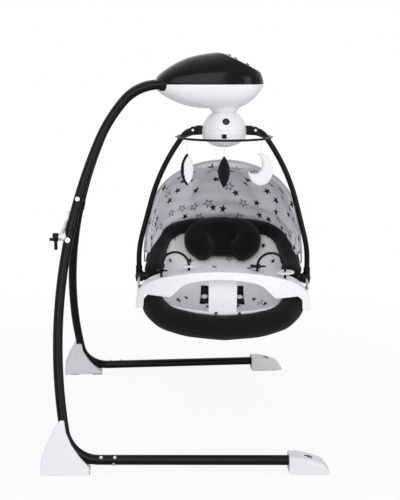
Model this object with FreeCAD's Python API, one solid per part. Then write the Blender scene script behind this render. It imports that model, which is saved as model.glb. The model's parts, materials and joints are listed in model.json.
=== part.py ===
"""Baby swing on a folding stand.

A drive head hangs a padded seat between two bent tube sides.  Frame: millimetres, +Z up, the
origin on the floor at the middle of the stand, +X along the leg tubes towards the toes, and the
seat faces -Y.  The seat is turned a few degrees on its hub, as such seats are left in use.
"""
import FreeCAD, Part
import math
import os
from FreeCAD import Vector as V

os.makedirs("parts", exist_ok=True)

# ---------------------------------------------------------------- driving dimensions
# stand
TUBE_R = 12.7            # 25.4 mm steel tube
TUBE_WALL = 1.3
HINGE_Z = 966.0          # height of the tube ends in the head
HINGE_Y = 62.0           # each tube end stands this far from the middle plane
LEAN = 18.6              # degrees each side leans out from upright
SPLAY = 2.4              # degrees each leg tube points outward
LEG_Z = 31.0             # height of the leg tubes' centre line
HEEL_X = -360.5          # rearmost point of the heel brackets
TOE_X = 360.5            # foremost point of the toe feet
PAD_H = 3.0              # rubber pad under heel and toe
SOCKET_X0 = -62.0        # mouth of the tube sockets
SOCKET_X1 = 20.0         # inner end of the tube sockets
BEND_TOP_R, BEND_TOP = 125.0, 50.0       # radius and turn of each bend, head to leg
BEND_SHOULDER_R, BEND_SHOULDER = 400.0, 18.0
BOW_R, BOW = 1400.0, 22.0
BEND_FOOT_R, BEND_FOOT = 90.0, 80.0
TUBE_SPLIT = 0.43        # where the bow is split into upper and lower tube

# drive head
HEAD_X0, HEAD_X1 = -72.0, 223.0
SEAM_Z = 967.0           # seam between upper and lower cover
COVER_T = 2.5            # moulded wall
HUB_X = 119.0            # vertical axis of neck, hub and seat
NECK_Z, NECK_R = 924.0, 47.0             # ball-shaped neck, centred on the swing axle
AXLE_R = 5.0
RUN = 0.05               # running clearance, radial
STEM_R = 6.5
PANEL_TILT = 26.0        # degrees the control plate slopes down
SLOPE_X, SLOPE_Z = 107.0, 1050.5         # where the slope starts

# hub under the head
HUB_R = 62.3
HUB_Z = 836.0            # widest level
HUB_SEAM_Z = 843.5       # dome above, turning carrier below
BOWL_Z = 817.8
BOWL_BOTTOM_Z = 793.0
SPINDLE_R = 10.0
CARRIER_PLATE = 3.2      # top plate of the turning carrier
SEAT_TURN = -5.0         # degrees the seat is turned on the hub

# seat, in its own square frame with the hub axis at x = 0, y = 0
ARM_R = 7.5
ARM_FOOT_Z = 420.0
RIM_Z = 433.0            # height of the rim's middle
RIM_TILT = 19.0          # degrees the rim rises to the back
SHELL_T = 3.5
PAD_T = 9.0
ROLL_R = 30.0
CANOPY_Y, CANOPY_Z = 35.0, 453.0         # canopy hinge line
WIRE_R = 2.2
CLOTH_T = 1.6
CANOPY_SPLIT = 31.0      # degrees of hood carried by the moving hoop
CANOPY_BACK = 78.0       # degrees from upright to the seat's back rim
CANOPY_SHRINK = 0.115    # how much the cloth draws in by the back rim
TRAY_BOW_Y = 185.5       # the tray bows forward in plan round this centre
TRAY_FRONT_R = 421.5     # plan radius of its front edge
TRAY_BACK_R = 360.5      # plan radius of its back edge
TRAY_T = 4.0
TRAY_TOP = 488.5         # top of the tray at its middle
TRAY_BROW = 22.0         # depth of its front edge at the middle
HORN_CLEAR_Z = 412.0     # the front edge stays above this where the lip's ends stand
ARCH_R = 3.3             # radius of the toy arches' coated wire
ARCH_X = 128.0           # middle of each arch
ARCH_HALF = 37.0         # half its span
ARCH_FOOT_Z = 455.0      # where its legs stand in the tray
ARCH_LEG = 38.0          # straight length of each leg
ARCH_Y = -184.0          # the plane they stand in
DISC_Z = (477.5, 492.0)  # height of the outer and of the inner discs on the legs
WING_W = 23.0            # width of the turned-down ends
POST_HALF = 38.0         # half width of the crotch post
POST_LOW = 369.0         # its lower end, just over the pad's front edge
RING_R, RING_ROD_R, RING_Z = 131.0, 3.2, 822.0
STRING_R = 0.7
STRING_L = 34.0
TOY_TURN = 50.0          # degrees between neighbouring toys on the ring

GAP = 0.3                # between bodies that move past each other


# ---------------------------------------------------------------- small helpers
def box(x0, x1, y0, y1, z0, z1):
    return Part.makeBox(x1 - x0, y1 - y0, z1 - z0, V(x0, y0, z0))


def rod(a, b, r):
    a, b = V(*a), V(*b)
    return Part.makeCylinder(r, (b - a).Length, a, b - a)


def sleeve(a, b, r_out, r_in):
    return rod(a, b, r_out).cut(rod(a, b, r_in))


def fuse(shapes):
    whole = shapes[0]
    for other in shapes[1:]:
        whole = whole.fuse(other)
    return whole.removeSplitter()


def polygon(points):
    """Closed face through points, in their order."""
    corners = [V(*p) for p in points]
    return Part.Face(Part.makePolygon(corners + corners[:1]))


def face_of(edges):
    """Flat face inside edges given in any order."""
    return Part.Face(Part.Wire(Part.__sortEdges__(edges)))


def moved(shape, dx=0.0, dy=0.0, dz=0.0):
    copy = shape.copy()
    copy.translate(V(dx, dy, dz))
    return copy


def turned(shape, base, axis, degrees):
    copy = shape.copy()
    copy.rotate(V(*base), V(*axis), degrees)
    return copy


def mirrored(shape, normal):
    return shape.mirror(V(0, 0, 0), V(*normal))


def largest(shape):
    return max(shape.Solids, key=lambda solid: solid.Volume)


def save(name, shape):
    solids = shape.Solids
    body = solids[0] if len(solids) == 1 else Part.makeCompound(solids)
    body.exportStep("parts/" + name + ".step")
    print("%-20s solids %d valid %s volume %.0f" % (name, len(solids), body.isValid(), body.Volume))


class Path:
    """A flat path in the XZ plane: a heading in degrees from +X, and runs that keep tangent."""

    def __init__(self, x, z, heading):
        self.x, self.z, self.heading = x, z, heading
        self.edges = []

    def point(self):
        return V(self.x, 0, self.z)

    def line(self, length):
        start = self.point()
        a = math.radians(self.heading)
        self.x += length * math.cos(a)
        self.z += length * math.sin(a)
        self.edges.append(Part.makeLine(start, self.point()))
        return self

    def bend(self, radius, turn):
        """Turn left by a positive angle, right by a negative one."""
        side = 1.0 if turn > 0 else -1.0
        a = math.radians(self.heading)
        cx = self.x - side * radius * math.sin(a)
        cz = self.z + side * radius * math.cos(a)

        def on(angle):
            b = math.radians(angle)
            return V(cx + side * radius * math.sin(b), 0, cz - side * radius * math.cos(b))

        start, mid = self.point(), on(self.heading + turn / 2)
        end = on(self.heading + turn)
        self.edges.append(Part.Arc(start, mid, end).toShape())
        self.x, self.z, self.heading = end.x, end.z, self.heading + turn
        return self

    def wire(self):
        return Part.Wire(self.edges)


def swept(wire, radius):
    """Round bar of a radius along a wire."""
    first = wire.OrderedEdges[0]
    t0 = first.FirstParameter if first.Orientation == "Forward" else first.LastParameter
    start = first.valueAt(t0)
    along = first.tangentAt(t0)
    ring = Part.Wire(Part.makeCircle(radius, start, along))
    return wire.makePipeShell([ring], True, False)


def swept_tube(wire, radius, wall):
    return swept(wire, radius).cut(swept(wire, radius - wall))


# ---------------------------------------------------------------- stand
# Each side is drawn flat in the XZ plane with the hinge line at z = 0, then leaned and splayed.
DROP = (HINGE_Z - LEG_Z) / math.cos(math.radians(LEAN))


def side_path():
    """Centre line of one bent side, from the head socket to the leg tube."""
    path = Path(SOCKET_X1, 0.0, 180.0)
    path.line(SOCKET_X1 - SOCKET_X0)
    path.bend(BEND_TOP_R, BEND_TOP)
    path.bend(BEND_SHOULDER_R, BEND_SHOULDER)
    path.bend(BOW_R, BOW)
    heel_turn = 180.0 - BEND_TOP - BEND_SHOULDER - BOW - BEND_FOOT
    foot_start = DROP - BEND_FOOT_R * (1 - math.sin(math.radians(heel_turn)))
    heel_r = (foot_start + path.z) / math.sin(math.radians(heel_turn))
    path.bend(heel_r, heel_turn)
    path.bend(BEND_FOOT_R, BEND_FOOT)
    return path


def split_bow(path):
    """Upper and lower wires of the side, cut inside the long bow."""
    bow = path.edges[3]
    cut = bow.FirstParameter + TUBE_SPLIT * (bow.LastParameter - bow.FirstParameter)
    ends = [bow.valueAt(bow.FirstParameter), bow.valueAt(cut), bow.valueAt(bow.LastParameter)]
    if ends[0].z < ends[2].z:
        ends.reverse()

    def part_of(a, b):
        mid = bow.Curve.value((bow.Curve.parameter(a) + bow.Curve.parameter(b)) / 2)
        return Part.Arc(a, mid, b).toShape()

    upper = Part.Wire(path.edges[:3] + [part_of(ends[0], ends[1])])
    lower = Part.Wire([part_of(ends[1], ends[2])] + path.edges[4:])
    return upper, lower, ends[1]


def lean_out(shape):
    """Put a flat side in its place on the -Y side of the stand."""
    placed = turned(shape, (0, 0, 0), (1, 0, 0), -LEAN)
    placed = turned(placed, (0, 0, 0), (0, 0, 1), -SPLAY)
    return moved(placed, 0, -HINGE_Y, HINGE_Z)


def side_point(x, z):
    """Where a point of the flat side lands in the near side of the stand."""
    return lean_out(Part.Vertex(x, 0, z)).Point


def drop_at(height):
    """Distance down the flat side at which its middle is at a height above the floor."""
    return -(HINGE_Z - height) / math.cos(math.radians(LEAN))


def bow_x(path, z):
    """X of the side's centre line at a level z of the flat side."""
    level = Part.makeLine(V(-600, 0, z), V(0, 0, z))
    return min(path.wire().distToShape(level)[1], key=lambda pair: pair[0].x)[0].x


def heel_bracket(path):
    """White gusset outside the foot bend: the bent tube lies in its hollow front edge."""
    inner = path.edges[5]
    top_z, floor_z = drop_at(126.0), drop_at(PAD_H) - 14.0
    tip_z = drop_at(14.0)
    outline = polygon([(-312, 0, top_z), (-322, 0, drop_at(117)), (-346, 0, drop_at(69)),
                       (-359, 0, drop_at(34)), (HEEL_X + 0.6, 0, drop_at(16)),
                       (HEEL_X + 0.6, 0, floor_z), (-236, 0, floor_z), (-236, 0, tip_z),
                       (-262, 0, drop_at(40)), (-283, 0, drop_at(67)), (-297, 0, drop_at(95)),
                       (-303, 0, top_z)])
    block = moved(outline, 0, -22, 0).extrude(V(0, 44, 0))
    groove = swept(Part.Wire(path.edges[4:6]), TUBE_R)
    leaning = lean_out(block.cut(groove))
    kept = leaning.common(box(-400, -200, -500, 0, PAD_H, 200))
    return largest(kept)


def toe_foot(axis_y, yaw):
    """White shoe over the end of the leg tube, square to the leg."""
    x0, x1, half = 256.0, TOE_X - 0.4, 27.0
    side = polygon([(x0, 0, PAD_H), (x0, 0, 49), (x0 + 30, 0, 47.5), (x0 + 58, 0, 41),
                    (x0 + 88, 0, 29), (x1 - 3, 0, 12), (x1, 0, 7), (x1 - 2, 0, PAD_H)])
    shoe = moved(side, 0, -half, 0).extrude(V(0, 2 * half, 0))
    long_edges = [e for e in shoe.Edges if abs(e.tangentAt(e.FirstParameter).y) < 0.1
                  and e.BoundBox.ZMin > PAD_H + 1 and e.BoundBox.XMin > x0 - 0.1
                  and e.BoundBox.XMax > x0 + 1]
    try:
        shoe = shoe.makeFillet(9.0, long_edges)
    except Exception:
        print("toe foot left square")
    shoe = shoe.cut(rod((x0 - 5, 0, LEG_Z), (x0 + 60, 0, LEG_Z), TUBE_R))
    shoe = turned(shoe, (x0, 0, LEG_Z), (0, 0, 1), yaw)
    return moved(shoe, 0, axis_y, 0)


def make_side():
    """All nodes of the near side of the stand, by name."""
    path = side_path()
    upper_wire, lower_wire, joint = split_bow(path)
    upper = swept_tube(upper_wire, TUBE_R, TUBE_WALL)
    lower = swept_tube(lower_wire, TUBE_R, TUBE_WALL)
    spigot_r = TUBE_R - TUBE_WALL + 0.1
    near_joint = swept(Part.Wire([path.edges[3]]), spigot_r)
    window = box(-500, 0, -40, 40, joint.z - 42, joint.z + 30)
    upper = upper.fuse(near_joint.common(window))
    collar = swept(Part.Wire([path.edges[3]]), TUBE_R + 1.6)
    collar = collar.common(box(-500, 0, -40, 40, joint.z - 24, joint.z))
    lower = lower.fuse(collar.cut(swept(Part.Wire([path.edges[3]]), TUBE_R - 0.4)))

    # leg tube: plugs over the lower tube's end and runs straight to the toe
    end = side_point(path.x, path.z)
    direction = V(math.cos(math.radians(SPLAY)), -math.sin(math.radians(SPLAY)), 0)
    leg_to = end + direction * ((250.0 + 58.0 - end.x) / direction.x)
    plug = sleeve(tuple(end), tuple(leg_to), TUBE_R, TUBE_R - TUBE_WALL)
    stub = rod(tuple(end - direction * 36), tuple(end + direction * 30), spigot_r)
    lower_placed = lean_out(lower)
    leg = plug.fuse(stub.cut(rod(tuple(end - direction * 36), tuple(end + direction * 30), spigot_r - 1.5)))
    lower_placed = lower_placed.cut(leg).cut(lean_out(upper))
    toe_axis_y = end.y + direction.y * ((256.0 - end.x) / direction.x)
    toe = toe_foot(toe_axis_y, -SPLAY)
    heel = heel_bracket(path)

    # rubber pads
    pads = []
    for x0, x1 in ((HEEL_X + 8, HEEL_X + 34), (-282.0, -250.0)):
        y_mid = side_point(-300, drop_at(8)).y
        pads.append(box(x0, x1, y_mid - 16, y_mid + 16, 0, PAD_H))
    toe_pad = box(272, 340, -18, 18, 0, PAD_H)
    toe_pad = turned(toe_pad, (256, 0, 0), (0, 0, 1), -SPLAY)
    pads.append(moved(toe_pad, 0, toe_axis_y, 0))

    # screw and bolt heads stand on the tubes' outer faces
    bolts = []
    outward = lean_out(Part.Vertex(0, -1, 0)).Point - side_point(0, 0)
    for height, size in ((668.0, 5.5), (565.0, 6.5)):
        z = drop_at(height)
        at = side_point(bow_x(path, z), z)
        bolts.append(rod(tuple(at + outward * (TUBE_R + 1.2)), tuple(at + outward * (TUBE_R + 4.5)), size))
    for x, rise in ((-221.0, 9.5), (-186.0, 9.5), (-189.0, -6.5)):
        y = end.y + direction.y * ((x - end.x) / direction.x)
        tilt = math.asin(rise / TUBE_R)
        off = V(0, -math.cos(tilt), math.sin(tilt))
        base = V(x, y, LEG_Z) + off * (TUBE_R - 0.6)
        bolts.append(rod(tuple(base), tuple(base + off * 3.0), 4.2))
    bolts = Part.makeCompound([b.cut(lower_placed).cut(leg) for b in bolts])
    return {"upper_tube": lean_out(upper), "lower_tube": lower_placed, "leg_tube": leg,
            "heel_bracket": heel.cut(leg), "toe_foot": toe.cut(leg),
            "foot_pads": Part.makeCompound(pads), "tube_bolts": bolts}


# ---------------------------------------------------------------- spreader bar and its lock
SPREADER_Z = 575.0
PIVOT_R = 5.0


def spreader_points():
    path = side_path()
    z = drop_at(SPREADER_Z)
    return side_point(bow_x(path, z), z)


def make_spreader():
    """Bar that holds the two sides apart: hinged on the far side, hooked on the near side."""
    at = spreader_points()
    x_tube, y_near, y_far = at.x, at.y, -at.y
    x_bar0, x_bar1 = x_tube - 26.0, x_tube - 20.0
    profile = box(x_bar0, x_bar1, y_near - 4, y_far, SPREADER_Z - 6.5, SPREADER_Z + 6.5)
    belly = rod((x_bar0, 0, SPREADER_Z - 160), (x_bar1, 0, SPREADER_Z - 160), 172.0)
    belly = belly.common(box(x_bar0, x_bar1, -70, 70, SPREADER_Z, SPREADER_Z + 30))
    eye = rod((x_bar0, y_far, SPREADER_Z), (x_bar1, y_far, SPREADER_Z), 11.0)
    hook = rod((x_bar0, y_near, SPREADER_Z), (x_bar1, y_near, SPREADER_Z), 10.0)
    bar = fuse([profile, belly, eye, hook])
    bar = bar.cut(rod((x_bar0 - 1, y_far, SPREADER_Z), (x_bar1 + 1, y_far, SPREADER_Z), PIVOT_R + RUN))
    slot_r = PIVOT_R + GAP
    bar = bar.cut(rod((x_bar0 - 1, y_near, SPREADER_Z), (x_bar1 + 1, y_near, SPREADER_Z), slot_r))
    mouth = polygon([(x_bar0 - 1, y_near - slot_r, SPREADER_Z), (x_bar0 - 1, y_near + slot_r, SPREADER_Z),
                     (x_bar0 - 1, y_near + slot_r + 7, SPREADER_Z - 14),
                     (x_bar0 - 1, y_near - slot_r, SPREADER_Z - 14)])
    bar = bar.cut(mouth.extrude(V(x_bar1 - x_bar0 + 2, 0, 0)))

    def stud(y):
        """Pin from the tube's outer face through the bar, with its boss."""
        boss = rod((x_bar1 + GAP, y, SPREADER_Z), (x_tube - 4, y, SPREADER_Z), 10.0)
        pin = rod((x_bar0 - 1.5, y, SPREADER_Z), (x_bar1 + 1, y, SPREADER_Z), PIVOT_R)
        return fuse([boss, pin])

    near_hub = stud(y_near)
    far_hub = stud(y_far)
    far_cap = rod((x_bar0 - 6.0, y_far, SPREADER_Z), (x_bar0 - 1.0, y_far, SPREADER_Z), 9.0)
    near_pin = rod((x_bar0 - 20.0, y_near, SPREADER_Z), (x_bar0 - 1.0, y_near, SPREADER_Z), 3.5)
    near_hub = fuse([near_hub, near_pin])
    far_hub = fuse([far_hub, far_cap])
    lever_x0, lever_x1 = x_bar0 - 16.0, x_bar0 - 2.0
    lever = rod((lever_x0, y_near, SPREADER_Z), (lever_x1, y_near, SPREADER_Z), 11.0)
    tab = box(lever_x0 + 3, lever_x0 + 11, y_near - 6, y_near + 6, SPREADER_Z - 33, SPREADER_Z)
    tip = rod((lever_x0 - 9, y_near + 2, SPREADER_Z - 6), (lever_x0 + 1, y_near + 2, SPREADER_Z - 6), 4.5)
    lever = fuse([lever, tab, tip])
    lever = lever.cut(rod((lever_x0 - 20, y_near, SPREADER_Z), (lever_x1 + 1, y_near, SPREADER_Z), 3.5 + RUN))
    return bar, near_hub, far_hub, lever


# ---------------------------------------------------------------- drive head
# stations along X: half width, height of the top above the seam, depth of the bottom below it
HEAD_STATIONS = [(-72, 40, 8, 12), (-60, 66, 28, 24), (-30, 81, 49, 42), (20, 90, 72, 60),
                 (75, 94, 83, 66.5), (115, 94, 87, 67.5), (160, 88, 82, 63), (195, 74, 60, 43),
                 (214, 54, 36, 22), (223, 30, 15, 8)]


def half_section(x, half_width, height, fullness=2.25):
    """Closed upright outline at x: a superellipse arch above z = 0 (below it if height < 0)."""
    steps = 12
    points = []
    for i in range(steps + 1):
        a = math.pi * i / steps
        c, s = math.cos(a), math.sin(a)
        y = half_width * math.copysign(abs(c) ** (2 / fullness), c)
        z = height * abs(s) ** (2 / fullness)
        points.append(V(x, y, z))
    curve = Part.BSplineCurve()
    curve.interpolate(points)
    return Part.Wire([curve.toShape(), Part.makeLine(points[-1], points[0])])


def head_half(column, sign, inset):
    """Solid upper (column 2) or lower (column 3) half of the head, shrunk by a wall."""
    middle = (HEAD_X0 + HEAD_X1) / 2
    length = HEAD_X1 - HEAD_X0
    wires = []
    for station in HEAD_STATIONS:
        x = middle + (station[0] - middle) * (length - 2 * inset) / length
        wires.append(half_section(x, station[1] - inset, sign * (station[column] - inset)))
    return moved(Part.makeLoft(wires, True, False), 0, 0, SEAM_Z)


def slope_block(drop):
    """Everything above the sloping control face."""
    block = box(0, 300, -150, 150, 0, 120)
    block = turned(block, (0, 0, 0), (0, 1, 0), PANEL_TILT)
    return moved(block, SLOPE_X, 0, SLOPE_Z - drop)


def brow_block(drop):
    """Everything above the flats that break the edge between crown, slope and nose."""
    blocks = []
    for x, z, tilt in BROWS:
        block = turned(box(-200, 300, -150, 150, 0, 120), (0, 0, 0), (0, 1, 0), tilt)
        blocks.append(moved(block, x, 0, z - drop))
    return fuse(blocks)


def on_slope(shape, along):
    """Place a shape, drawn at the origin with its base on z = 0, on the control face."""
    a = math.radians(PANEL_TILT)
    placed = turned(shape, (0, 0, 0), (0, 1, 0), PANEL_TILT)
    return moved(placed, SLOPE_X + along * math.cos(a), 0, SLOPE_Z - along * math.sin(a))


BUTTONS = {"power_button": 24.0, "speed_button": 44.0, "music_button": 80.0}
BUTTON_R = 5.5
PANEL_LEN = (10.0, 92.0)
BROWS = [(104.0, 1050.3, 9.0), (106.0, 1050.1, 17.0)]    # x, height and fall of each flat


def make_head():
    nodes = {}
    sockets, socket_room = [], []
    for sign in (-1, 1):
        a, b = (SOCKET_X0, 0, 0), (SOCKET_X1, 0, 0)
        tube = sleeve(a, b, TUBE_R + 3.6, TUBE_R + RUN)
        room = rod(a, (SOCKET_X1 + 0.2, 0, 0), TUBE_R + 3.7)
        for shape, group in ((tube, sockets), (room, socket_room)):
            placed = turned(shape, (0, 0, 0), (0, 0, 1), sign * SPLAY)
            group.append(moved(placed, 0, sign * HINGE_Y, HINGE_Z))
    approach = []
    for sign in (-1, 1):
        reach = rod((-120, 0, 0), (SOCKET_X0 + 1, 0, 0), TUBE_R + 3.7)
        reach = turned(reach, (0, 0, 0), (0, 0, 1), sign * SPLAY)
        approach.append(moved(reach, 0, sign * HINGE_Y, HINGE_Z))

    outer_top = head_half(2, 1, 0).cut(slope_block(0)).cut(brow_block(0))
    inner_top = head_half(2, 1, COVER_T).cut(slope_block(COVER_T + 0.5)).cut(brow_block(COVER_T + 0.5))
    upper = outer_top.cut(inner_top)
    for room in socket_room + approach:
        upper = upper.cut(room)

    neck = Part.makeSphere(NECK_R, V(HUB_X, 0, NECK_Z)).common(
        box(HUB_X - 60, HUB_X + 60, -60, 60, 860, NECK_Z))
    cavity = Part.makeSphere(NECK_R - COVER_T, V(HUB_X, 0, NECK_Z)).common(
        box(HUB_X - 60, HUB_X + 60, -60, 60, 860, NECK_Z + 5))
    outer_low = head_half(3, -1, 0).fuse(neck)
    inner_low = head_half(3, -1, COVER_T).fuse(cavity)
    lower = outer_low.cut(head_half(3, -1, COVER_T)).cut(cavity)
    lower = lower.cut(rod((HUB_X, 0, 860), (HUB_X, 0, NECK_Z), 21.0))
    for x in (62.0, 178.0):
        for y in (-38.0, 38.0):
            post = rod((x, y, 905), (x, y, SEAM_Z), 5.0)
            lower = lower.fuse(post.common(inner_low))
    rib = box(-10, 50, -4, 4, 900, 932).common(inner_low)
    lower = lower.fuse(rib)
    for room in socket_room + approach:
        lower = lower.cut(room)
    lower = largest(lower)
    upper = largest(upper)

    plate = box(PANEL_LEN[0], PANEL_LEN[1], -26, 26, 0.0, 3.2)
    upright = [e for e in plate.Edges if abs(e.tangentAt(e.FirstParameter).z) > 0.9]
    plate = plate.makeFillet(12.0, upright)
    for along in BUTTONS.values():
        plate = plate.cut(rod((along, 0, -1), (along, 0, 6), BUTTON_R + GAP))
    plate = on_slope(plate, 0.0)
    for name, along in BUTTONS.items():
        cap = rod((along, 0, 0), (along, 0, 7.0), BUTTON_R)
        cap = cap.makeFillet(1.6, [e for e in cap.Edges if e.BoundBox.ZMin > 6.9])
        shank = rod((along, 0, -7.0), (along, 0, 0.5), 3.0)
        nodes[name] = on_slope(fuse([cap, shank]), 0.0)
        upper = upper.cut(on_slope(rod((along, 0, -12), (along, 0, 1), BUTTON_R + GAP), 0.0))
    board = box(50, 190, -44, 44, SEAM_Z, SEAM_Z + 1.6)
    for x in (62.0, 178.0):
        for y in (-38.0, 38.0):
            board = board.cut(rod((x, y, SEAM_Z - 1), (x, y, SEAM_Z + 3), 1.6))
    coil = sleeve((HUB_X, 0, SEAM_Z - 9), (HUB_X, 0, SEAM_Z), 17.0, 6.0)
    battery = box(-24, 44, -34, 34, 932, 986)
    battery = battery.cut(box(-22, 42, -32, 32, 934, 984))

    bearings = []
    for x0, x1 in ((HUB_X - 26, HUB_X - 18), (HUB_X + 18, HUB_X + 26)):
        pillar = box(x0, x1, -9, 9, 880, NECK_Z + 11)
        pillar = pillar.cut(rod((x0 - 1, 0, NECK_Z), (x1 + 1, 0, NECK_Z), AXLE_R + RUN))
        pillar = pillar.common(Part.makeSphere(NECK_R - 1, V(HUB_X, 0, NECK_Z)))
        bearings.append(largest(pillar.cut(lower)))
    screws = []
    for x in (-22.0, 52.0, 142.0):
        for sign in (-1, 1):
            screws.append(cover_screw(x, sign, outer_low))
    for screw in screws:
        lower = lower.cut(screw)
    lower = largest(lower)
    nodes.update({
        "head_upper_cover": upper, "head_lower_cover": lower, "control_plate": plate,
        "circuit_board": board, "drive_coil": coil, "battery_box": battery,
        "tube_sockets": Part.makeCompound(sockets), "cover_screws": Part.makeCompound(screws),
        "swing_bearings": Part.makeCompound(bearings)})
    return nodes


def cover_screw(x, sign, skin):
    """Small screw head sunk in the lower cover's side, square to X."""
    z = SEAM_Z - 28.0
    probe = Part.makeLine(V(x, 0, z), V(x, sign * 140, z))
    hit = skin.common(probe)
    y = max(abs(v.Y) for v in hit.Vertexes)
    return rod((x, sign * (y - 4.0), z + 1.5), (x, sign * (y - 0.4), z), 2.6)


# ---------------------------------------------------------------- swinging hub
def make_swing():
    stem = rod((HUB_X, 0, HUB_SEAM_Z - 6), (HUB_X, 0, NECK_Z + 22), STEM_R)
    axle = rod((HUB_X - 27, 0, NECK_Z), (HUB_X + 27, 0, NECK_Z), AXLE_R)
    under = HUB_SEAM_Z - 2 * GAP - CARRIER_PLATE
    spindle = rod((HUB_X, 0, under - 4), (HUB_X, 0, HUB_SEAM_Z + 1), SPINDLE_R)
    flange = rod((HUB_X, 0, under - 4), (HUB_X, 0, under), 16.0)
    plate = rod((HUB_X, 0, HUB_SEAM_Z + 1), (HUB_X, 0, HUB_SEAM_Z + 4), 26.0)
    stem = fuse([stem, axle, spindle, flange, plate])
    magnet = rod((HUB_X, 0, NECK_Z + 22), (HUB_X, 0, NECK_Z + 30), 8.0)

    ball = Part.makeSphere(HUB_R, V(HUB_X, 0, HUB_Z))
    inner = Part.makeSphere(HUB_R - COVER_T, V(HUB_X, 0, HUB_Z))
    slab = box(HUB_X - 80, HUB_X + 80, -80, 80, HUB_SEAM_Z, 910)
    dome = ball.common(slab).cut(inner.common(box(HUB_X - 80, HUB_X + 80, -80, 80,
                                                  HUB_SEAM_Z + 1, 910)))
    dome = dome.cut(Part.makeSphere(NECK_R + 0.7, V(HUB_X, 0, NECK_Z)))
    dome = dome.cut(rod((HUB_X, 0, HUB_SEAM_Z - 2), (HUB_X, 0, HUB_SEAM_Z + 2), SPINDLE_R + RUN))
    floor = rod((HUB_X, 0, HUB_SEAM_Z), (HUB_X, 0, HUB_SEAM_Z + 1), HUB_R - 2)
    floor = floor.cut(rod((HUB_X, 0, HUB_SEAM_Z - 1), (HUB_X, 0, HUB_SEAM_Z + 4), SPINDLE_R))
    dome = dome.fuse(floor)
    dome = largest(dome)
    return {"swing_stem": stem, "drive_magnet": magnet, "hub_dome": dome}


# ---------------------------------------------------------------- seat side, in the square frame
def on_seat(shape):
    """Place a seat-side shape, drawn about the hub axis, in the swing's frame."""
    return moved(turned(shape, (0, 0, 0), (0, 0, 1), SEAT_TURN), HUB_X, 0, 0)


def both(shape):
    """A shape and its mirror image across the seat's middle plane."""
    return Part.makeCompound([shape, mirrored(shape, (1, 0, 0))])


def make_carrier():
    """Turning carrier, bowl, latch, arm brackets, arms, rivets, feet and the toy ring."""
    big = 80
    ball = Part.makeSphere(HUB_R, V(0, 0, HUB_Z))
    inner = Part.makeSphere(HUB_R - COVER_T, V(0, 0, HUB_Z))
    top = HUB_SEAM_Z - GAP
    carrier = ball.common(box(-big, big, -big, big, BOWL_Z, top))
    carrier = carrier.cut(inner.common(box(-big, big, -big, big, BOWL_Z - 1, top - CARRIER_PLATE)))
    carrier = carrier.cut(rod((0, 0, 800), (0, 0, 860), SPINDLE_R + RUN))

    rim = math.sqrt(HUB_R ** 2 - (HUB_Z - BOWL_Z) ** 2)
    depth = BOWL_Z - BOWL_BOTTOM_Z
    bowl_r = (rim ** 2 + depth ** 2) / (2 * depth)
    centre = V(0, 0, BOWL_BOTTOM_Z + bowl_r)
    cap = Part.makeSphere(bowl_r, centre).common(box(-big, big, -big, big, 780, BOWL_Z))
    bowl = cap.cut(Part.makeSphere(bowl_r - COVER_T, centre))

    # latch button in a window at the front
    window = box(-6 - GAP, 6 + GAP, -70, -50, 822 - GAP, 833 + GAP)
    carrier = carrier.cut(window)
    latch = box(-6, 6, -HUB_R - 3.0, -HUB_R + 8.0, 822, 833)
    latch = latch.makeFillet(1.5, [e for e in latch.Edges if e.BoundBox.YMax < -HUB_R - 2.9])

    path = Path(70, 842, -5)
    path.line(16).bend(40, -48).bend(545, -22).line(98).bend(300, -15)
    path.line(path.z - ARM_FOOT_Z - 12)
    arm = swept_tube(path.wire(), ARM_R, 1.2)
    foot_x = path.x
    knuckle = box(57, 80, -10.5, 10.5, 830, 853)
    knuckle = knuckle.makeFillet(4.0, [e for e in knuckle.Edges
                                       if abs(e.tangentAt(e.FirstParameter).y) > 0.9])
    bracket = knuckle.fuse(rod((87, -10.5, 841), (87, 10.5, 841), 9.2))
    bracket = bracket.fuse(box(70, 87, -10.5, 10.5, 832, 850.2))
    dome_room = Part.makeSphere(HUB_R + 2 * GAP, V(0, 0, HUB_Z))
    dome_room = dome_room.common(box(-big, big, -big, big, top, 910))
    bracket = bracket.cut(ball).cut(dome_room).cut(swept(path.wire(), ARM_R))
    bracket = largest(bracket)
    rivet = rod((87, -13.0, 841), (87, 13.0, 841), 3.6)
    arm = arm.cut(rivet)
    bracket = bracket.cut(rivet)

    # arm foot: a flat round head on the tube's end, with the recline pin on its inner side
    foot = rod((foot_x - FOOT_IN, 0, ARM_FOOT_Z), (foot_x + 8.5, 0, ARM_FOOT_Z), 16.0)
    neck = rod((foot_x, 0, ARM_FOOT_Z), (foot_x, 0, ARM_FOOT_Z + 30), ARM_R + 2.0)
    pin = rod((foot_x - 36, 0, ARM_FOOT_Z), (foot_x, 0, ARM_FOOT_Z), PIN_R)
    foot = fuse([foot, neck, pin]).cut(swept(path.wire(), ARM_R))

    # toy ring, clipped to the brackets by two rods a side
    ring = Part.makeTorus(RING_R, RING_ROD_R, V(0, 0, RING_Z))
    rods = []
    for sx in (-1, 1):
        for sy in (-1, 1):
            a = V(sx * 118.0, sy * math.sqrt(RING_R ** 2 - 118.0 ** 2), RING_Z)
            b = V(sx * 76.0, sy * 12.0, 834.0)
            rods.append(rod(tuple(a), tuple(b), 2.6))
        tip = Part.makeCone(2.8, 1.0, 5, V(sx * (RING_R + 1.0), 0, RING_Z), V(sx, 0, 0))
        rods.append(tip)
    ring = fuse([ring] + rods)
    arms = both(bracket)
    ring = ring.cut(arms).cut(both(swept(path.wire(), ARM_R)))
    ring = largest(ring)
    return {"hub_carrier": carrier, "hub_bowl": bowl, "hub_latch": latch,
            "arm_brackets": both(bracket), "hanger_arms": both(arm),
            "arm_rivets": both(rivet), "arm_feet": both(foot), "toy_ring": ring}, foot_x


PIN_R = 4.0
FOOT_IN = 10.5           # how far the arm's foot stands inward of the arm


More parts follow.
